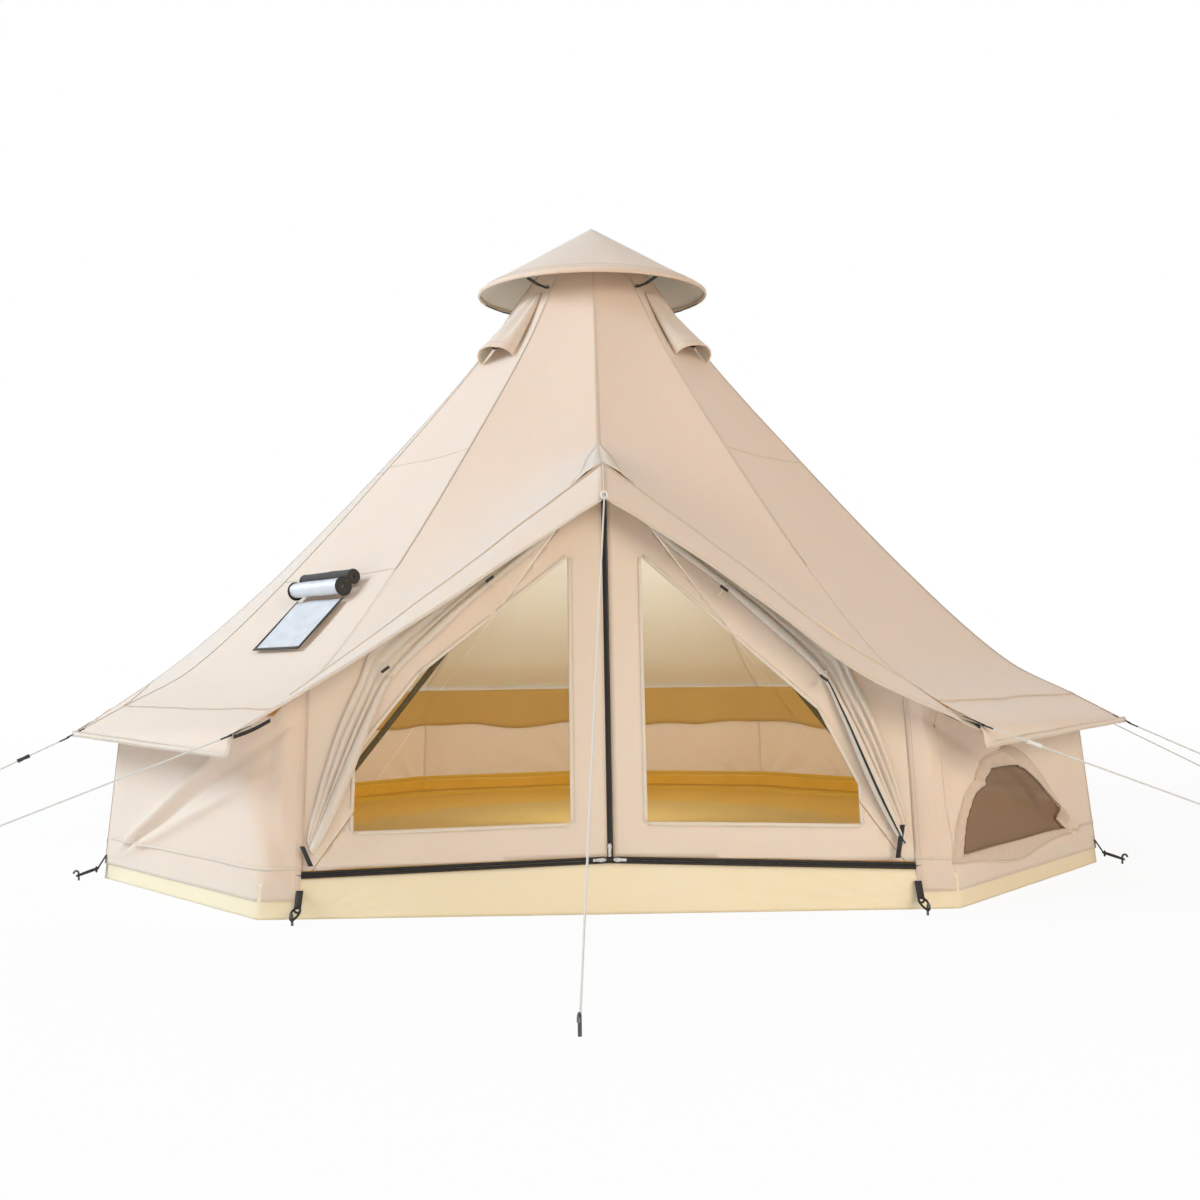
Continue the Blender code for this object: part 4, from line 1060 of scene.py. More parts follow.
def fold_band(name, row, next_row, edges, threads, finish=canvas):
    """A fold sewn along a panel's row, and its stitches. Each line is a height and a reach from it."""
    middle = roof_columns // 2
    way = (next_row[middle] - row[middle]).normalized()
    normal = (row[-1] - row[0]).cross(way).normalized()
    if normal.z < 0:
        normal = -normal
    lines = [[p + normal * high + way * reach for p in row] for high, reach in (*edges, *threads)]
    ribbon(name, lines[:3], finish)
    edge_rows.extend(lines[3:])


# The door's panels share their neighbours' seams only down to this row.
shared_rows = sum(door_steps[:4]) + 1
seam_rows, edge_rows = [], []
for index, degrees in enumerate(range(-180, 180, 30)):
    before = panel_between(degrees - 30, degrees) if index else panel_between(150, 180)
    after = panel_between(degrees, degrees + 30)
    if abs(degrees) == 30:
        before, after = before[:shared_rows], after[:shared_rows]
    crest = [p + Vector((p.x, p.y, 1.2)).normalized() * 0.0010 for p in beside(after, 0, 0.0, 0.0)]
    sides = [beside(before, 1, 0.0024, 0.0003), crest, beside(after, 0, 0.0024, 0.0003)]
    ribbon(f"seam_{index:02d}", sides, canvas)
    seam_rows += [beside(before, 1, 0.0017, 0.0013), beside(after, 0, 0.0017, 0.0013)]
stitch("seam_stitches", seam_rows)

for (a, b), rows in roof_panels.items():
    for level in (-1,) if a == 0 else (-1, -10):
        wide, margin, lift = (0.020, 0.003, 0.0024) if level == -1 else (0.006, 0.0015, 0.0026)
        fold_band(
            f"edge_{a + 180}_{b + 180}_{-level}", rows[level], rows[level - 1],
            ((0.001, -0.0005), (0.0018, wide / 2), (0.001, wide)), ((lift, wide - margin), (lift, margin)),
        )
for a, index in (
    (-60, 28), (-60, 42), (30, 28), (-90, 28), (60, 28), (90, 28), (-120, 28), (120, 28), (-150, 28),
    (150, 28), (-180, 28),
):
    rows = roof_panels.get((a, a + 30)) or roof_panels[a + 30, a]
    fold_band(
        f"level_seam_{a + 180}_{index}", rows[index], rows[index - 1],
        ((0.0003, 0.0), (0.0008, 0.003), (0.0003, 0.006)), ((0.0018, 0.003),),
    )

# A patch strengthens the peak, and the hem below it has a fold at its top.
patch_top, patch_foot = 30, 60
for hand, word in hands:
    rows = roof_panels[0, hand * 30]
    lines = [[], [], []]
    for index in range(patch_top, patch_foot + 1):
        start, end = rows[index][0], rows[index][-1]
        step = (end - start).normalized()
        normal = step.cross(rows[index + 1][0] - rows[index - 1][0]).normalized()
        normal = -normal if normal.z - normal.y < 0 else normal
        share = (index - patch_top) / (patch_foot - patch_top)
        for line, part in zip(lines, (0.0, 0.5, 1.0)):
            swell = 0.006 * sin(part * pi) * share + 0.002
            line.append(start + step * (0.004 + 0.118 * share) * part + normal * swell)
    ribbon("peak_patch_" + word, lines, canvas)
    edge_rows.append([p + Vector((0.0, -0.0012, 0.0012)) for p in lines[2]])
    fold_band(
        "hem_fold_" + word, rows[patch_foot], rows[patch_foot + 1],
        ((0.001, 0.0), (0.003, 0.005), (0.001, 0.010)), ((0.0042, 0.008),), edge_tape,
    )
stitch("edge_stitches", edge_rows)
stitch("wall_stitches", wall_seams + door_edge_seams)
for index, line in enumerate(wall_seams):
    ribbon(f"wall_strip_seam_{index}", [
        [p - outwards(p) * sunk + upright * rise for p in line]
        for sunk, rise in ((0.0005, 0.005), (0.0, 0.0), (0.0005, -0.005))
    ], canvas)

# Crown plate, rain cap and pole plug
# A stiffened canvas disc gathers the panels round the pole. Over it sits a shallow cone of canvas
# with a bound rim. Four elastic straps with hooks pull the rim down, more in front than behind.
cap_radius, cap_rim, cap_top, cap_lean = 0.496, 2.34, 2.634, 0.115
cap_binding, cap_steps = 0.006, 144


def cap_point(share, around):
    angle = 2 * pi * around
    radius = cap_radius * share
    height = cap_top - (cap_top - cap_rim) * share - 0.003
    height += 0.003 * ripple(share * 4 * sin(angle), share * 4 * cos(angle), 8) * share
    return Vector((radius * sin(angle), -radius * cos(angle), height - cap_lean * radius * cos(angle)))


cap_rows = grid(21, cap_steps, cap_point)
cap_mesh = grid_mesh(cap_rows)
rework(cap_mesh, lambda shell: bmesh.ops.remove_doubles(shell, verts=shell.verts, dist=1e-5))
hang("cap_cone", cap_mesh, 1.8, canvas, "canvas", "rain_cap", (1.05, 1.05))


def closed_tube(shell):
    bmesh.ops.remove_doubles(shell, verts=shell.verts, dist=1e-6)
    bmesh.ops.recalc_face_normals(shell, faces=shell.faces)


rim_radius = cap_radius - 0.004
rim_rounds = []
for step in range(cap_steps + 1):
    angle = 2 * pi * step / cap_steps
    out = Vector((sin(angle), -cos(angle), 0.0))
    middle = out * rim_radius + upright * (cap_rim - 0.008 - cap_lean * rim_radius * cos(angle))
    rim_rounds.append(hoop(middle, out * cap_binding, upright * 1.5 * cap_binding, 12))
rim_mesh = grid_mesh(rim_rounds)
rework(rim_mesh, closed_tube)
piece("cap_bound_rim", rim_mesh, edge_tape, "canvas")
stitch("cap_stitches", [[p + upright * 0.0025 for p in cap_rows[row]] for row in (20, 19)])

crown_hole, crown_width, crown_height, crown_steps = 0.0165, 0.1355, 2.5052, 48
crown_rows = []
for step in range(9):
    share = step / 8
    radius, height = crown_hole + crown_width * share, crown_height - 0.0045 * share**2
    crown_rows.append([ring(radius, 360 * k / crown_steps, height) for k in range(crown_steps)])
hang("crown_disc", grid_mesh(crown_rows, closed=True), 1.8, edge_tape, "canvas_lining",
     "crown_plate", (0.31, 0.31))

elastic = grained(
    "black_elastic", 380.0, 2.0, (0.010, 0.010, 0.010), (0.050, 0.048, 0.045), (0.35, 0.0008), Roughness=0.75
)


def cord_mesh(name, points, radius, finish, slot, sides=8):
    """A round cord, wire or bead along points, with closed ends."""
    vertices, faces = [], []
    side = None
    last = len(points) - 1
    for index, point in enumerate(points):
        along = (points[min(index + 1, last)] - points[max(index - 1, 0)]).normalized()
        if side is None:
            side = along.orthogonal().normalized()
        side = (side - along * side.dot(along)).normalized()
        vertices += hoop(point, side * radius, along.cross(side) * radius, sides)[:-1]
    for here in range(0, last * sides, sides):
        there = here + sides
        for k in range(sides):
            b = (k + 1) % sides
            faces.append((here + k, there + k, there + b, here + b))
    faces.append(tuple(range(sides)))
    faces.append(tuple(range(last * sides, (last + 1) * sides))[::-1])
    mesh = make_mesh(vertices, faces)
    rework(mesh, lambda shell: bmesh.ops.recalc_face_normals(shell, faces=shell.faces))
    mesh.set_sharp_from_angle(angle=radians(50))
    return piece(name, mesh, finish, slot)


for label, azimuth in (("front_left", -33), ("front_right", 31), ("rear_left", -104), ("rear_right", 104)):
    out, tangent = ring(1.0, azimuth, 0.0), ring(1.0, azimuth + 90, 0.0)
    rim_place = out * (cap_radius - 0.012) + upright * (cap_rim - 0.016 + cap_lean * out.y * cap_radius)
    foot_place = out * 0.342 + upright * (2.275 if abs(azimuth) < 90 else 2.28)
    middle = (rim_place + foot_place) / 2 - upright * 0.006
    ribbon("cap_strap_" + label, [
        [p + tangent * reach for p in (rim_place, middle, foot_place)] for reach in (-0.009, 0.009)
    ], elastic, "webbing", thick=0.002)
    hook = [foot_place + out * 0.012 * cos(k * pi / 6) + upright * 0.010 * sin(k * pi / 6) for k in range(9)]
    cord_mesh("cap_hook_" + label, hook, 0.002, steel, "peg_steel")

# Poles
# The centre pole is two steel tubes, the upper one necked into the lower, with a wide foot and a
# plastic plug. The door pole is a black coated tube, bent at its top, that stands on the groundsheet.
tube_steel = Finish("galvanised_tube", Metallic=0.9)
drawn = tube_steel.stretched_noise(tube_steel.place(), (120.0, 120.0, 4.0), 4.0)
tube_steel.feed("Base Color", tube_steel.mix(drawn, (0.42, 0.42, 0.44), (0.60, 0.60, 0.62)))
tube_steel.feed("Roughness", 0.26 + drawn * 0.2)
dress(tube_steel.material, "center_pole_lower", "center_pole_upper")
coated = Finish("black_coated_tube", Metallic=0.2)
where = coated.place()
scuff = coated.noise(where, 12.0, 6.0, 0.7)
coated.feed("Base Color", coated.mix((scuff > 0.66) * 0.5, (0.020, 0.020, 0.022), (0.10, 0.10, 0.10)))
coated.feed("Roughness", 0.28 + scuff * 0.25)
coated.bump(coated.noise(where, 190.0, 3.0), 0.2, 0.0005)
dress(coated.material, "door_pole_leg_left", "door_pole_leg_right", "door_pole_elbow")
dress(moulded["black"], "pole_top_plug")

# Roof vents
# Four scoops of canvas, stiffened by a wire in the mouth's hem, open down the slope over netted
# holes under the cap's rim. Air leaves through them, and rain runs off them.
scoop_side, scoop_long, net_reach, scoop_steps = 0.2356, 0.38, 0.30, 24
for end, facing, height, (run, fall), (out, rise) in (
    ("front", -1, 2.2633, (0.4056, -0.8191), (0.5792, 0.5737)),
    ("rear", 1, 2.2676, (0.41, -0.8148), (0.5761, 0.5798)),
):
    for hand, word in hands:
        label = f"{end}_{word}"
        start = Vector((hand * scoop_side, facing * scoop_side, height))
        across = Vector((-facing * 0.7071, hand * 0.7071, 0.0))
        down = Vector((hand * run, facing * run, fall))
        outward = Vector((hand * out, facing * out, rise))

        def scoop(share, over):
            """The scoop widens and rises towards its mouth, and is dented along one side."""
            angle = pi * over
            wide = 0.06 + 0.135 * share**0.8
            high = 0.010 + 0.062 * share
            valley = 1.1 if hand < 0 else pi - 1.1
            crumple = 1 + 0.04 * ripple(share * 5, angle * 3, 11)
            crumple += 0.05 * sin(angle * 9 + share * 4) * (1 - share)
            crumple -= 0.42 * exp(-(((angle - valley) / 0.30) ** 2)) * (1.15 - share)
            place = start + down * scoop_long * share + across * cos(angle) * wide / 2
            return place + outward * (0.001 + sin(angle) * high * crumple)

        def net_arch(up, over):
            arch = (0.004 + sin(pi * over) * 0.040) * up
            return start + down * net_reach + across * cos(pi * over) * 0.078 + outward * arch

        rows = grid(scoop_steps, 32, scoop)
        hang("vent_scoop_" + label, rows, 1.6, canvas, "canvas",
             "vent_" + label, (0.26, 0.40))
        cord_mesh("vent_wire_" + label, [p + outward * 0.001 for p in rows[-1]], 0.004, edge_tape, "canvas")
        hang("vent_net_" + label, grid(1, 8, net_arch), start, binding, "net",
             flat=(0.16, 0.05), thick=0)
        stitch("vent_stitches_" + label, [
            [row[0] + outward * 0.002 + across * 0.004 for row in rows],
            [row[-1] + outward * 0.002 - across * 0.004 for row in rows],
            [p + outward * 0.0015 for p in rows[scoop_steps - 2]],
        ])

# Stove jack
# A panel of silver heat-resistant cloth is let into the left front roof cloth under a black binding.
# A stove pipe goes through it. Its rain cover is rolled up above it, round a black-ended core.
jack_corner = Vector((-1.0901, -1.1502, 0.7772))
jack_across = Vector((0.7071, -0.7071, 0.0))
jack_down = Vector((-0.5026, -0.5026, -0.7034))
jack_out = Vector((-0.4974, -0.4974, 0.7108))
jack_half = 0.145
silver = Finish("heat_resistant_cloth", Metallic=0.25)
where = silver.place()
crush = silver.noise(where, 26.0, 6.0, 0.65)
silver.feed("Base Color", silver.mix(crush, (0.60, 0.61, 0.64), (0.86, 0.87, 0.89)))
silver.feed("Roughness", 0.35 + crush * 0.3)
silver.bump(crush + silver.noise(where, 480.0) * 0.1, 0.5, 0.003)


def jack_place(x, y, lift=0.0):
    return jack_corner + jack_across * x - jack_down * y + jack_out * (0.0016 + lift)


jack_mesh = flat_cloth(
    [(-jack_half, 0.0), (jack_half, 0.0), (jack_half, 0.24), (-jack_half, 0.24)],
    lambda x, y: jack_place(x, y, 0.003 * ripple(x * 12, y * 12, 21) + 0.0022), cell=0.012,
)
hang("jack_panel", jack_mesh, 0.0, silver.material, "silver_cloth",
     "stove_jack_panel")
for label, start, end, inward in (
    ("lower", (-jack_half, 0.0), (jack_half, 0.0), (0.0, 1.0)),
    ("left", (-jack_half, 0.0), (-jack_half, 0.245), (1.0, 0.0)),
    ("right", (jack_half, 0.0), (jack_half, 0.245), (-1.0, 0.0)),
):
    start, end, inward = Vector(start), Vector(end), Vector(inward)
    ribbon("jack_binding_" + label, [
        [jack_place(*(start.lerp(end, t / 12) + inward * reach), lift) for t in range(13)]
        for reach, lift in ((-0.003, 0.002), (0.002, 0.005), (0.007, 0.004))
    ], binding, "webbing", thick=0.001)

roll_steps, steps_per_turn, roll_half = 65, 24, 0.150
for number, (label, up_slope, thickest, finish, slot, stands_for) in enumerate((
    ("cover", 0.268, 0.030, silver.material, "silver_cloth", "stove_jack_cover"),
    ("backing", 0.322, 0.026, binding, "webbing", None),
)):
    def rolled(along, inwards):
        """A cloth rolled up from its outer turn inwards."""
        x, turn_step = roll_half * (2 * along - 1), inwards * roll_steps
        angle = 2 * pi * turn_step / steps_per_turn + 0.7
        crease = 0.0016 * ripple(x * 14, angle * 1.2, 31 + number) * min(1, (66 - turn_step) / 30)
        radius = thickest - 0.0005 * turn_step + crease
        return jack_place(x, up_slope + radius * cos(angle), thickest + 0.001 + radius * sin(angle))

    hang("jack_roll_" + label, grid(60, roll_steps, rolled), jack_place(0.0, up_slope, thickest + 0.001),
         finish, slot, stands_for)
    for side, reach, proud, tucked in (("left", -0.1515, -0.001, 0.002), ("right", 0.1505, 0.002, -0.002)):
        end = grid_mesh([
            hoop(jack_place(reach + depth, up_slope, thickest + 0.001), -jack_down * r, jack_out * r, 24)
            for depth, r in (
                (0.0, 0.004), (0.0, thickest * 0.55), (proud, thickest * 0.8), (0.0, thickest * 0.98),
                (tucked, thickest * 1.02),
            )
        ])
        face_away(end, jack_place(0.0, up_slope, thickest))
        piece(f"jack_{label}_end_{side}", end, binding, "webbing", thick=0.001)
for hand, word in hands:
    edge = hoop(jack_place(hand * 0.149, 0.268, 0.031), -jack_down * 0.031, jack_out * 0.031, 24)
    cord_mesh("jack_roll_rim_" + word, edge, 0.0022, elastic, "webbing")
toggle = hoop(jack_place(-0.02, 0.352, 0.012), jack_across * 0.010, jack_out * 0.010 - jack_down * 0.012, 16)
cord_mesh("jack_cord_loop", toggle, 0.0018, elastic, "webbing")

# Netted inner door
# Two canvas-bordered net leaves meet at an upright zip. Each leaf folds back about the slanting
# line from the peak to the sill's end, and a sewn part beyond that line stays with the tent.
lining = canvas_finish("door_canvas", (0.80, 0.685, 0.585), (0.85, 0.735, 0.635))
white_thread = grained("white_thread", 320.0, 2.0, (0.70, 0.68, 0.62), (0.88, 0.87, 0.83), Roughness=0.6)
pale_tape = canvas_finish("net_edge_tape", (0.80, 0.68, 0.55), (0.88, 0.76, 0.63), 0.3)
foot_x, foot_z, peak_z = 0.85, 0.1304, 1.326
leaf_edge, leaf_foot, leaf_top = 0.892, 0.0215, 1.293


def fold_line(x):
    """The height of the line about which a leaf folds back."""
    return foot_z + (peak_z - foot_z) * (1 - abs(x) / foot_x)


def fold_room(x, z):
    """Nothing at the line where a leaf folds back, rising to one 4 cm away from it."""
    return min(1.0, abs(z - fold_line(x)) * 0.58 / 0.04)


def door_fold(x, z, seed):
    """Soft creases: a fan from the foot, and upright waves in the net."""
    foot = hypot(foot_x - abs(x), z - foot_z)
    fan = atan2(z - foot_z + 0.01, foot_x - abs(x) + 0.02)
    depth = 0.004 * sin(fan * 12 + seed) * exp(-foot / 0.35)
    depth += 0.0035 * ripple(x * 9, z * 2.4, seed)
    return depth * min(1.0, abs(x) * 12 + 0.15) * fold_room(x, z)


def sill_height(x):
    return sill_mid - sill_drop * abs(x) / door_half


for hand, word, inner, bend, far, edge_top in (
    (-1, "left", -0.007, (0.548, 0.690), 0.735, 0.455), (1, "right", 0.0085, (0.623, 0.568), 0.727, 0.350),
):
    outline = [
        (inner, sill_height(inner) + leaf_foot), (leaf_edge, sill_height(door_half) + leaf_foot),
        (leaf_edge, 0.651), (inner, leaf_top),
    ]
    net_hole = [(0.112, 0.255), (far, 0.240), (far, edge_top), bend, (0.112, 1.035)]
    wide_hole = [
        (0.104, 0.247), (far + 0.008, 0.232), (far + 0.008, edge_top + 0.003),
        (bend[0] + 0.007, bend[1] + 0.006), (0.104, 1.051),
    ]

    def canvas_place(x, z):
        return door(hand * x, z, -0.0003 - 0.0012 * fold_room(x, z) + door_fold(x, z, hand * 2.0))

    def net_place(x, z):
        return door(hand * x, z, -0.0008 - 0.0032 * fold_room(x, z) + door_fold(x, z, hand * 2.0) * 1.2)

    foot_point = door(hand * foot_x, foot_z)
    line_up = (door(0.0, peak_z) - foot_point).normalized()
    away = line_up.cross(Vector((0.0, -1.0, 0.2))).normalized()
    if away.x * hand < 0:
        away = -away
    parts = {"leaf": "leaf_" + word, "side": "tent"}
    for kind, mesh, finish, slot, side_room, width, thick in (
        ("canvas", flat_cloth(outline, canvas_place, net_hole), lining, "canvas_lining",
         0.0020, 0.115, 0.0010),
        ("net", flat_cloth(wide_hole, net_place), door_net, "net", 0.0035, 0.60, 0),
    ):
        for part, body in parts.items():
            def split(shell):
                """Keeps the part on its own side of the folding line."""
                leaf = part == "leaf"
                bmesh.ops.bisect_plane(
                    shell, geom=shell.verts[:] + shell.edges[:] + shell.faces[:], dist=1e-6,
                    plane_co=foot_point + away * (-0.0008 if leaf else side_room), plane_no=away,
                    clear_outer=leaf, clear_inner=not leaf,
                )

            cut_mesh = mesh.copy()
            rework(cut_mesh, split)
            hang(f"screen_{kind}_{part}_{word}", cut_mesh, 0.5, finish, slot,
                 f"screen_{part}_{word}", (width,), thick, body)

    tapes = {"leaf": [], "side": []}
    middle = Vector((0.42, 0.45))
    turns = [Vector(p) for p in net_hole]
    for here, there in zip(turns, turns[1:] + turns[:1]):
        edge = there - here
        normal = Vector((edge.y, -edge.x)).normalized()
        if normal.dot(here - middle) < 0:
            normal = -normal
        steps = max(2, int(edge.length / 0.02))
        last_part = None
        for step in range(steps + 1):
            at = here + edge * step / steps
            part = "leaf" if at.y < fold_line(at.x) - 0.002 else "side"
            if part != last_part:
                tapes[part].append([])
                last_part = part
            spots = [at + normal * offset for offset in (0.001, 0.006, 0.011)]
            tapes[part][-1].append([
                door(hand * p.x, p.y, 0.0016 + door_fold(p.x, p.y, hand * 2.0)) for p in spots
            ])
    for part, strips in tapes.items():
        strips = [list(zip(*strip)) for strip in strips if len(strip) > 2]
        for number, strip in enumerate(strips):
            ribbon(f"net_edge_{part}_{word}_{number}", strip, pale_tape, "canvas_lining", parts[part], 0.0006)
        stitch(f"screen_stitches_{part}_{word}", [strip[1] for strip in strips], white_thread, parts[part],
               (0.011, 0.0070, 0.0014))

# Zips
# Black coil zips: an upright one between the leaves and one along the sill, under a white-stitched
# tape. The sliders are plated, each with a pull tab.
zip_tape = grained(
    "zip_tape", 600.0, 2.0, (0.006, 0.006, 0.006), (0.035, 0.035, 0.035), (0.4, 0.0006), Roughness=0.6
)
plated = grained(
    "plated_slider", 240.0, 4.0, (0.55, 0.55, 0.56), (0.80, 0.80, 0.81), None, (0.18, 0.2), Metallic=1.0
)
dress(plated, "door_zip_slider", "sill_zip_slider_left", "sill_zip_slider_right")


zip_foot, zip_top, sill_half = 0.158, 1.285, 0.891


def upright_line(x, forward, low=zip_foot, steps=60):
    return [door(x, low + (zip_top - low) * k / steps, forward) for k in range(steps + 1)]


def sill_line(rise, forward, steps=120):
    sides = [sill_half * (2 * k / steps - 1) for k in range(steps + 1)]
    return [door(side, sill_height(side) + rise, forward) for side in sides]


for word, edges, stitched in (
    ("left", (-0.0062, 0.0005, 0.0078), -0.0110), ("right", (0.0080, 0.0090, 0.0102), 0.0150),
):
    leaf = "leaf_" + word
    ribbon("door_zip_tape_" + word, [upright_line(x, 0.0008) for x in edges], zip_tape, "zip", leaf)
    stitch("door_zip_stitches_" + word, [upright_line(stitched, 0.0012)], body=leaf)
coil = upright_line(0.0030, 0.0026, 0.165, 200)
stitch("door_zip_coil", [coil], zip_tape, "leaf_left", (0.0032, 0.0020, 0.0052))
for label, rises, forward, finish, slot in (
    ("lower_tape", (0.0005, 0.0045, 0.0085), 0.0006, zip_tape, "zip"),
    ("upper_tape", (0.0118, 0.0158, 0.0198), 0.0006, zip_tape, "zip"),
    ("web", (0.0080, 0.0100, 0.0122), -0.0004, lining, "canvas_lining"),
):
    strip = ribbon("sill_zip_" + label, [sill_line(rise, forward) for rise in rises], finish, slot)
    if label == "upper_tape":
        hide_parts("sill_zip")
stitch("sill_zip_coil", [sill_line(0.0105, 0.0024)], zip_tape, "tent", (0.0032, 0.0020, 0.0050))
white_rows = [sill_line(-0.006, 0.0015)]
stitch("sill_white_stitches", white_rows, white_thread, "tent", (0.010, 0.0065, 0.0016))

# Rolled outer door flaps
# The outer canvas door opens down the middle. Each half is rolled towards its sewn edge under the
# hem and tied by two toggles. Below the lower toggle it hangs in folds to the foot.
flap_knots = (
    ((0.06, 0.948), (0.075, 0.895), 0.35, 0.1),
    ((0.23, 0.866), (0.23, 0.800), 0.55, 0.4),
    ((0.392, 0.783), (0.392, 0.715), 0.42, 0.15),
    ((0.568, 0.693), (0.557, 0.620), 0.62, 0.5),
    ((0.785, 0.580), (0.724, 0.512), 0.38, 0.2),
    ((0.83, 0.505), (0.784, 0.428), 0.70, 0.7),
    ((0.885, 0.420), (0.835, 0.340), 0.95, 1.0),
    ((0.938, 0.305), (0.89, 0.248), 0.90, 0.8),
    ((0.972, 0.210), (0.945, 0.165), 0.6, 0.35),
    ((0.985, 0.160), (0.965, 0.142), 0.4, 0.15),
)
flap_rise, lower_toggle = 1.333, 42
roll_radius, fold_depth, tuck = 0.026, 0.038, 0.014


def along_flap(knots):
    return curved(knots, (10,) * (len(flap_knots) - 1))


sewn_line, free_line = (
    along_flap([(knot[way][0] * door_half, knot[way][1] * flap_rise) for knot in flap_knots])
    for way in (0, 1)
)
rolls, depths = (
    [point.y for point in along_flap([(k * 0.1, knot[way]) for k, knot in enumerate(flap_knots)])]
    for way in (2, 3)
)
for hand, word, zip_column, strap, toggles in (
    (-1, "left", 46, ((0.872, 0.205), (0.848, 0.148)), ((0.341, 0.967), (0.642, 0.704))),
    (1, "right", 31, ((0.840, 0.240), (0.823, 0.146)), ((0.351, 0.931), (0.631, 0.663))),
):
    rows = []
    for index, (sewn, free) in enumerate(zip(sewn_line, free_line)):
        roll, deep = roll_radius * rolls[index], fold_depth * depths[index]
        tucked = tuck * max(0.0, 1 - index / lower_toggle)
        down = (free - sewn).normalized()
        line = []
        for k in range(25):
            share = k / 24
            place = sewn + (free - sewn) * share
            pleat = abs(sin(share * pi * 3.5 + 0.6 * ripple(index * 0.05, share * 2, 17 + hand))) ** 0.7
            lift = 0.005 + deep * pleat * (0.5 + 0.5 * share)
            lift += 0.003 * ripple(index * 0.14, share * 5, 23 + hand)
            line.append(door(hand * place.x, place.y + tucked * share, max(0.004, lift)))
        for k in range(1, 31):
            angle = radians(-90 + 24 * k)
            radius = roll * (1 - 0.018 * k) * (1 + 0.08 * ripple(index * 0.11, angle * 1.3, 41 + hand))
            place = free + down * radius * cos(angle)
            line.append(door(hand * place.x, place.y + tucked, 0.005 + roll + radius * sin(angle)))
        rows.append(line)
    hang("rolled_flap_" + word, rows, 0.5, lining, "canvas_lining",
         "door_flap_" + word, (0.55, 1.62), 0.001)
    ribbon("flap_zip_" + word, [
        [row[column] - Vector((0.0, 0.0015, 0.0)) for row in rows[lower_toggle:]]
        for column in (zip_column - 1, zip_column)
    ], zip_tape, "zip", thick=0.0015)
    ribbon("flap_strap_" + word, [
        [door(hand * (x + across), z, 0.034 - 0.012 * k) for k, (x, z) in enumerate(strap)]
        for across in (-0.007, 0.007)
    ], elastic, "webbing", thick=0.0015)
    for number, (x, z) in enumerate(toggles):
        axis = Vector((hand * 0.8, 0.0, -0.6))
        bead = [door(hand * x, z, 0.066) + axis * t for t in (-0.014, -0.012, 0.012, 0.014)]
        cord_mesh(f"toggle_{word}_{number}", bead, 0.0045, moulded["black"], "black_plastic", 12)
        rising, forward = Vector((hand * 0.6, 0.0, 0.8)) * 0.026, Vector((0.0, -0.026, 0.0))
        tie = hoop(door(hand * x, z, 0.034), rising, forward, 24)
        cord_mesh(f"toggle_loop_{word}_{number}", tie, 0.0018, pale_tape, "canvas_lining")

# Hooks at the eave
# Each guy point is a black webbing loop sewn to the skirt's tip, with a plastic clip for the rope.
# The hem's peak has a white plastic eyelet.
for label, direction in (
    ("side_left", (-0.783, -0.452, -0.428)), ("side_right", (0.783, -0.452, -0.428)),
    ("rear_right", (0.89, 0.0, -0.45)),
    ("corner_left", (-0.931, -0.073, -0.357)), ("corner_right", (0.931, -0.073, -0.357)),
):
    place, direction = Vector(rope_ends[label][0]), Vector(direction).normalized()
    sideways = direction.cross(upright).normalized()
    over = sideways.cross(direction).normalized()
    ribbon("eave_loop_" + label, [
        [
            place + direction * reach + sideways * w + over * lift
            for reach, lift in ((-0.05, 0.0055), (-0.02, 0.0055), (0.004, 0.0035), (0.012, 0.0035))
        ]
        for w in (-0.011, 0.0, 0.011)
    ], elastic, "webbing", thick=0.0015)
    clip = hoop(place + direction * 0.022, direction * 0.016, sideways * 0.008, 20)
    cord_mesh("eave_clip_" + label, clip, 0.0024, moulded["black"], "black_plastic")
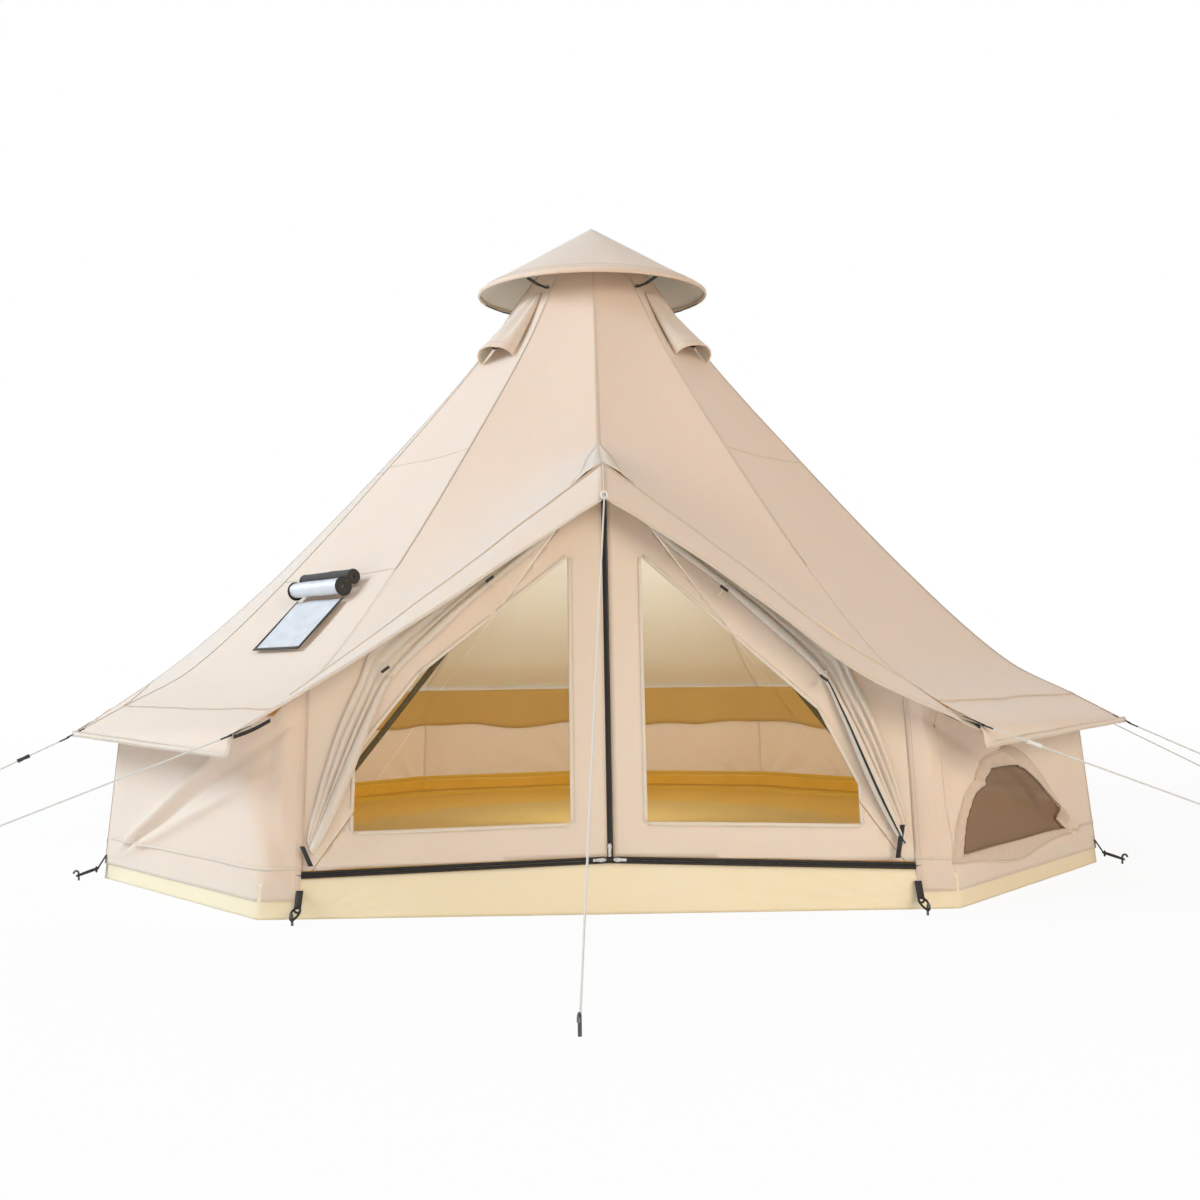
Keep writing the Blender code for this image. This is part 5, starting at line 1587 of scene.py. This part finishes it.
for hand, word in hands:
    tip, top_corner = Vector((hand * 1.0376, -1.797, 0.522)), ring(1.938, hand * 30, 0.562)
    ribbon("corner_strap_" + word, [
        [tip.lerp(top_corner, k / 6) + Vector((0.0, -0.004, w - 0.004 * sin(pi * k / 6))) for k in range(7)]
        for w in (-0.0055, 0.0055)
    ], elastic, "webbing", thick=0.0015)
eyelet = hoop(
    Vector((0.0, -1.603, 1.212)), Vector((0.009, 0.0, 0.0)), Vector((0.0, 0.3, 1.0)).normalized() * 0.011, 32
)
cord_mesh("hem_eyelet", eyelet, 0.0030, moulded["white"], "white_plastic", 10)

# Base loops and pegs
# Elastic loops at the groundsheet's corners are held by hooked steel pegs pushed into the ground.
for label, corner, away in (
    ("door_left", (-0.88, -1.7321, 0.0), (0.0, -1.0, 0.0)),
    ("door_right", (0.88, -1.7321, 0.0), (0.0, -1.0, 0.0)),
    ("side_left", (-1.7321, -1.0, 0.0), (-0.866, -0.5, 0.0)),
    ("side_right", (1.7321, -1.0, 0.0), (0.866, -0.5, 0.0)),
):
    corner, away = Vector(corner), Vector(away)
    side = away.cross(upright)
    peg_reach, peg_bend = 0.080, 0.024

    def spot(reach, height, sideways=0.0):
        return corner + away * reach + side * sideways + upright * height

    ribbon("base_tab_" + label, [
        [spot(-0.008 + 0.029 * k / 4, 0.080 - 0.045 * k / 4, w) for k in range(5)]
        for w in (-0.010, 0.0, 0.010)
    ], elastic, "webbing", thick=0.002)
    strands = []
    for k in range(33):
        angle = 2 * pi * k / 32
        reach = 0.052 - 0.034 * cos(angle)
        sideways = 0.011 * sin(angle) * (1 + 0.3 * cos(angle))
        strands.append(spot(reach, 0.036 - 0.30 * (reach - 0.018), sideways))
    elastic_loop = cord_mesh("base_loop_" + label, strands, 0.0034, elastic, "webbing")
    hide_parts("base_peg_" + label)
    cord_mesh("base_knot_" + label, hoop(spot(0.024, 0.032), side * 0.008, upright * 0.008, 12), 0.0032,
              elastic, "webbing")
    peg = [spot(peg_reach, height) for height in (0.0, peg_bend / 2, peg_bend)]
    for k in range(1, 8):
        angle = pi * k / 7
        peg.append(spot(peg_reach + 0.008 * (1 - cos(angle)), peg_bend + 0.009 * sin(angle)))
    cord_mesh("base_hook_" + label, peg, 0.0036, steel, "webbing")
